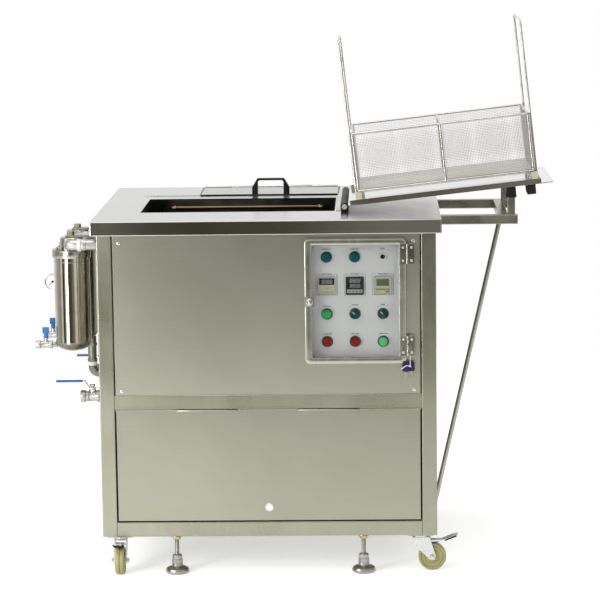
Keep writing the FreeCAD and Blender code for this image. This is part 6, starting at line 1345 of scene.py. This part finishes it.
for x in (feet_low.x + PAD_RADIUS, feet_high.x - PAD_RADIUS):
    for y in (feet_low.y + PAD_RADIUS, feet_high.y - PAD_RADIUS):
        hexagon = tube(NUT_BORE, 0.013 * HEX, 0.0255, 0.0382, 6, 0.0006, True)
        foot = joined(lathe(pad_profile, 56, 0.0012), lathe(thread, 28), hexagon,
                      lathe(collar, 40, 0.0003, True))
        pads.append(move(foot, (x, y, 0)))
        nuts.append(move(tube(NUT_BORE, 0.0095 * HEX, 0.0932, 0.1012, 6, 0.0006, True), (x, y, 0)))
        under_rail = move(lathe(washer, 40, 0.0002, True), (x, y, RAIL_UNDER))
        piece(f"foot_washer_{len(pads)}", under_rail, foot_steel)
piece("feet_pads", joined(*pads), foot_steel, "levelling_feet", "levelling_feet")
piece("feet_nuts", joined(*nuts), brassy_zinc, "levelling_feet")

# ---- Camera, light and floor ----
# A white floor and backdrop in a soft studio. In front of the machine the room is dim near the ground
# and bright higher up, which polished steel shows as dark and pale bands.
scene = bpy.context.scene
camera_data = bpy.data.cameras.new("view")
camera_data.sensor_fit = "HORIZONTAL"
camera_data.sensor_width = 36.0
camera_data.lens = 154.85
camera_data.clip_end = 100.0
camera = bpy.data.objects.new("view", camera_data)
scene.collection.objects.link(camera)
camera.location = (centre_x + 0.2839, front_y - 6.7575, 1.7851)
camera.rotation_euler = (turn(1.651, "Z") @ turn(90 - 8.796, "X") @ turn(-0.738, "Z")).to_euler()
scene.camera = camera
scene.view_settings.view_transform = "Standard"

# Brightness of the room by direction: degrees and level, all round at eye height, and from floor to ceiling.
ALL_ROUND = ((-180, 0.12), (-170, 0.09), (-158, 0.2), (-149, 0.45), (-146, 1.0), (-139, 1.0), (-136, 0.2),
             (-131, 0.06),
             (-124, 0.06), (-120, 0.95), (-112, 1.0), (-104, 0.4), (-96, 0.5), (-60, 0.7), (-40, 1.0),
             (40, 1.0),
             (60, 0.6), (68, 0.12), (92, 0.1), (98, 0.9), (112, 0.9), (117, 0.12), (140, 0.13), (145, 0.85),
             (157, 0.9), (164, 0.3), (173, 0.24), (180, 0.12))
UPWARD = ((-90, 0.5), (-12, 0.5), (4, 0.5), (14, 0.9), (32, 1.0), (50, 0.62), (90, 0.8))
BACKDROP_HALF, BACKDROP_SOFT, DIM_BELOW = 55, 20, 12


def ramp_of(tree, value, reach, stops):
    """Brightness over an angle in radians that runs between minus and plus reach degrees."""
    share = spread(tree, value, {"From Min": -radians(reach), "From Max": radians(reach)})
    ramp = put(tree, "ValToRGB", {0: share})
    elements = ramp.color_ramp.elements
    while len(elements) < len(stops):
        elements.new(0.5)
    for element, (degrees, level) in zip(elements, stops):
        element.position = degrees / (2 * reach) + 0.5
        warmth = max(0.0, 0.35 - level)
        element.color = (level, level * (1 - 0.4 * warmth), level * (0.985 - 1.2 * warmth), 1.0)
    return ramp.outputs[0]


def calculate(tree, operation, first, second=0.5):
    return put(tree, "Math", {0: first, 1: second}, operation=operation).outputs[0]


world = bpy.data.worlds.new("studio")
scene.world = world
world.use_nodes = True
tree = world.node_tree
room = tree.nodes["Background"]
way = put(tree, "SeparateXYZ", {0: put(tree, "TexCoord").outputs["Generated"]}).outputs
elevation, azimuth = calculate(tree, "ARCSINE", way[2]), calculate(tree, "ARCTAN2", way[0], way[1])
low_down = spread(tree, elevation, {"From Min": 0.0, "From Max": radians(DIM_BELOW)},
                  interpolation_type="SMOOTHSTEP")
around, upward = ramp_of(tree, azimuth, 180, ALL_ROUND), ramp_of(tree, elevation, 90, UPWARD)
walls = put(tree, "Mix", {0: low_down, 6: around, 7: upward}, data_type="RGBA")
tree.links.new(walls.outputs[2], room.inputs["Color"])
backdrop = put(tree, "Background", {"Color": (1.0, 1.0, 1.0, 1.0)})
edges = {"From Min": radians(BACKDROP_HALF + BACKDROP_SOFT), "From Max": radians(BACKDROP_HALF)}
facing_backdrop = spread(tree, calculate(tree, "ABSOLUTE", azimuth), edges, interpolation_type="SMOOTHSTEP")
rays = put(tree, "LightPath").outputs
mirrored = calculate(tree, "MULTIPLY", rays["Is Glossy Ray"], facing_backdrop)
straight = calculate(tree, "MAXIMUM", rays["Is Camera Ray"], rays["Is Transmission Ray"])
choice = put(tree, "MixShader", {0: calculate(tree, "MAXIMUM", straight, mirrored), 1: room.outputs[0],
                                 2: backdrop.outputs[0]})
tree.links.new(choice.outputs[0], tree.nodes["World Output"].inputs["Surface"])


def lamp(name, at, target, size, watts):
    """A soft rectangular lamp aimed at a place."""
    data = bpy.data.lights.new(name, "AREA")
    data.shape = "RECTANGLE"
    data.size, data.size_y = size
    data.energy = watts
    made = bpy.data.objects.new(name, data)
    scene.collection.objects.link(made)
    made.location = at
    made.rotation_euler = (Vector(target) - Vector(at)).to_track_quat("-Z", "Y").to_euler()
    made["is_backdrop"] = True


lamp("lamp_over", (-0.6, -0.9, 3.6), (0, 0, 0.8), (2.6, 2.0), 42)
lamp("lamp_left", (-3.2, -2.4, 2.2), (0, 0, 0.8), (1.6, 2.2), 38)
lamp("lamp_near", (centre_x - 1.45, front_y - 1.7, 0.78), (centre_x - 0.3, front_y, 0.78), (0.35, 1.1), 26)

FLOOR_RADIUS, FLOOR_GLOW = 3.2, 0.45
floor_paint = moulded("floor_white", (0.86, 0.86, 0.86), (0.9, 0.9, 0.9), (0.8, 0.9), 30.0, 0.0, 2.0)
tree = floor_paint.node_tree
rays = put(tree, "LightPath").outputs
straight = calculate(tree, "MAXIMUM", rays["Is Camera Ray"], rays["Is Transmission Ray"])
seen = calculate(tree, "MAXIMUM", straight, rays["Is Glossy Ray"])
shader = tree.nodes["Principled BSDF"]
shader.inputs["Emission Color"].default_value = (1.0, 1.0, 1.0, 1.0)
tree.links.new(calculate(tree, "MULTIPLY", seen, FLOOR_GLOW), shader.inputs["Emission Strength"])
floor = bpy.data.objects.new("floor", mesh_of(lathe([(0, 0), (FLOOR_RADIUS * 0.5, 0), (FLOOR_RADIUS, 0)],
                                                    96), "floor"))
floor.data.materials.append(floor_paint)
scene.collection.objects.link(floor)
floor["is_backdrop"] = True

low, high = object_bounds()
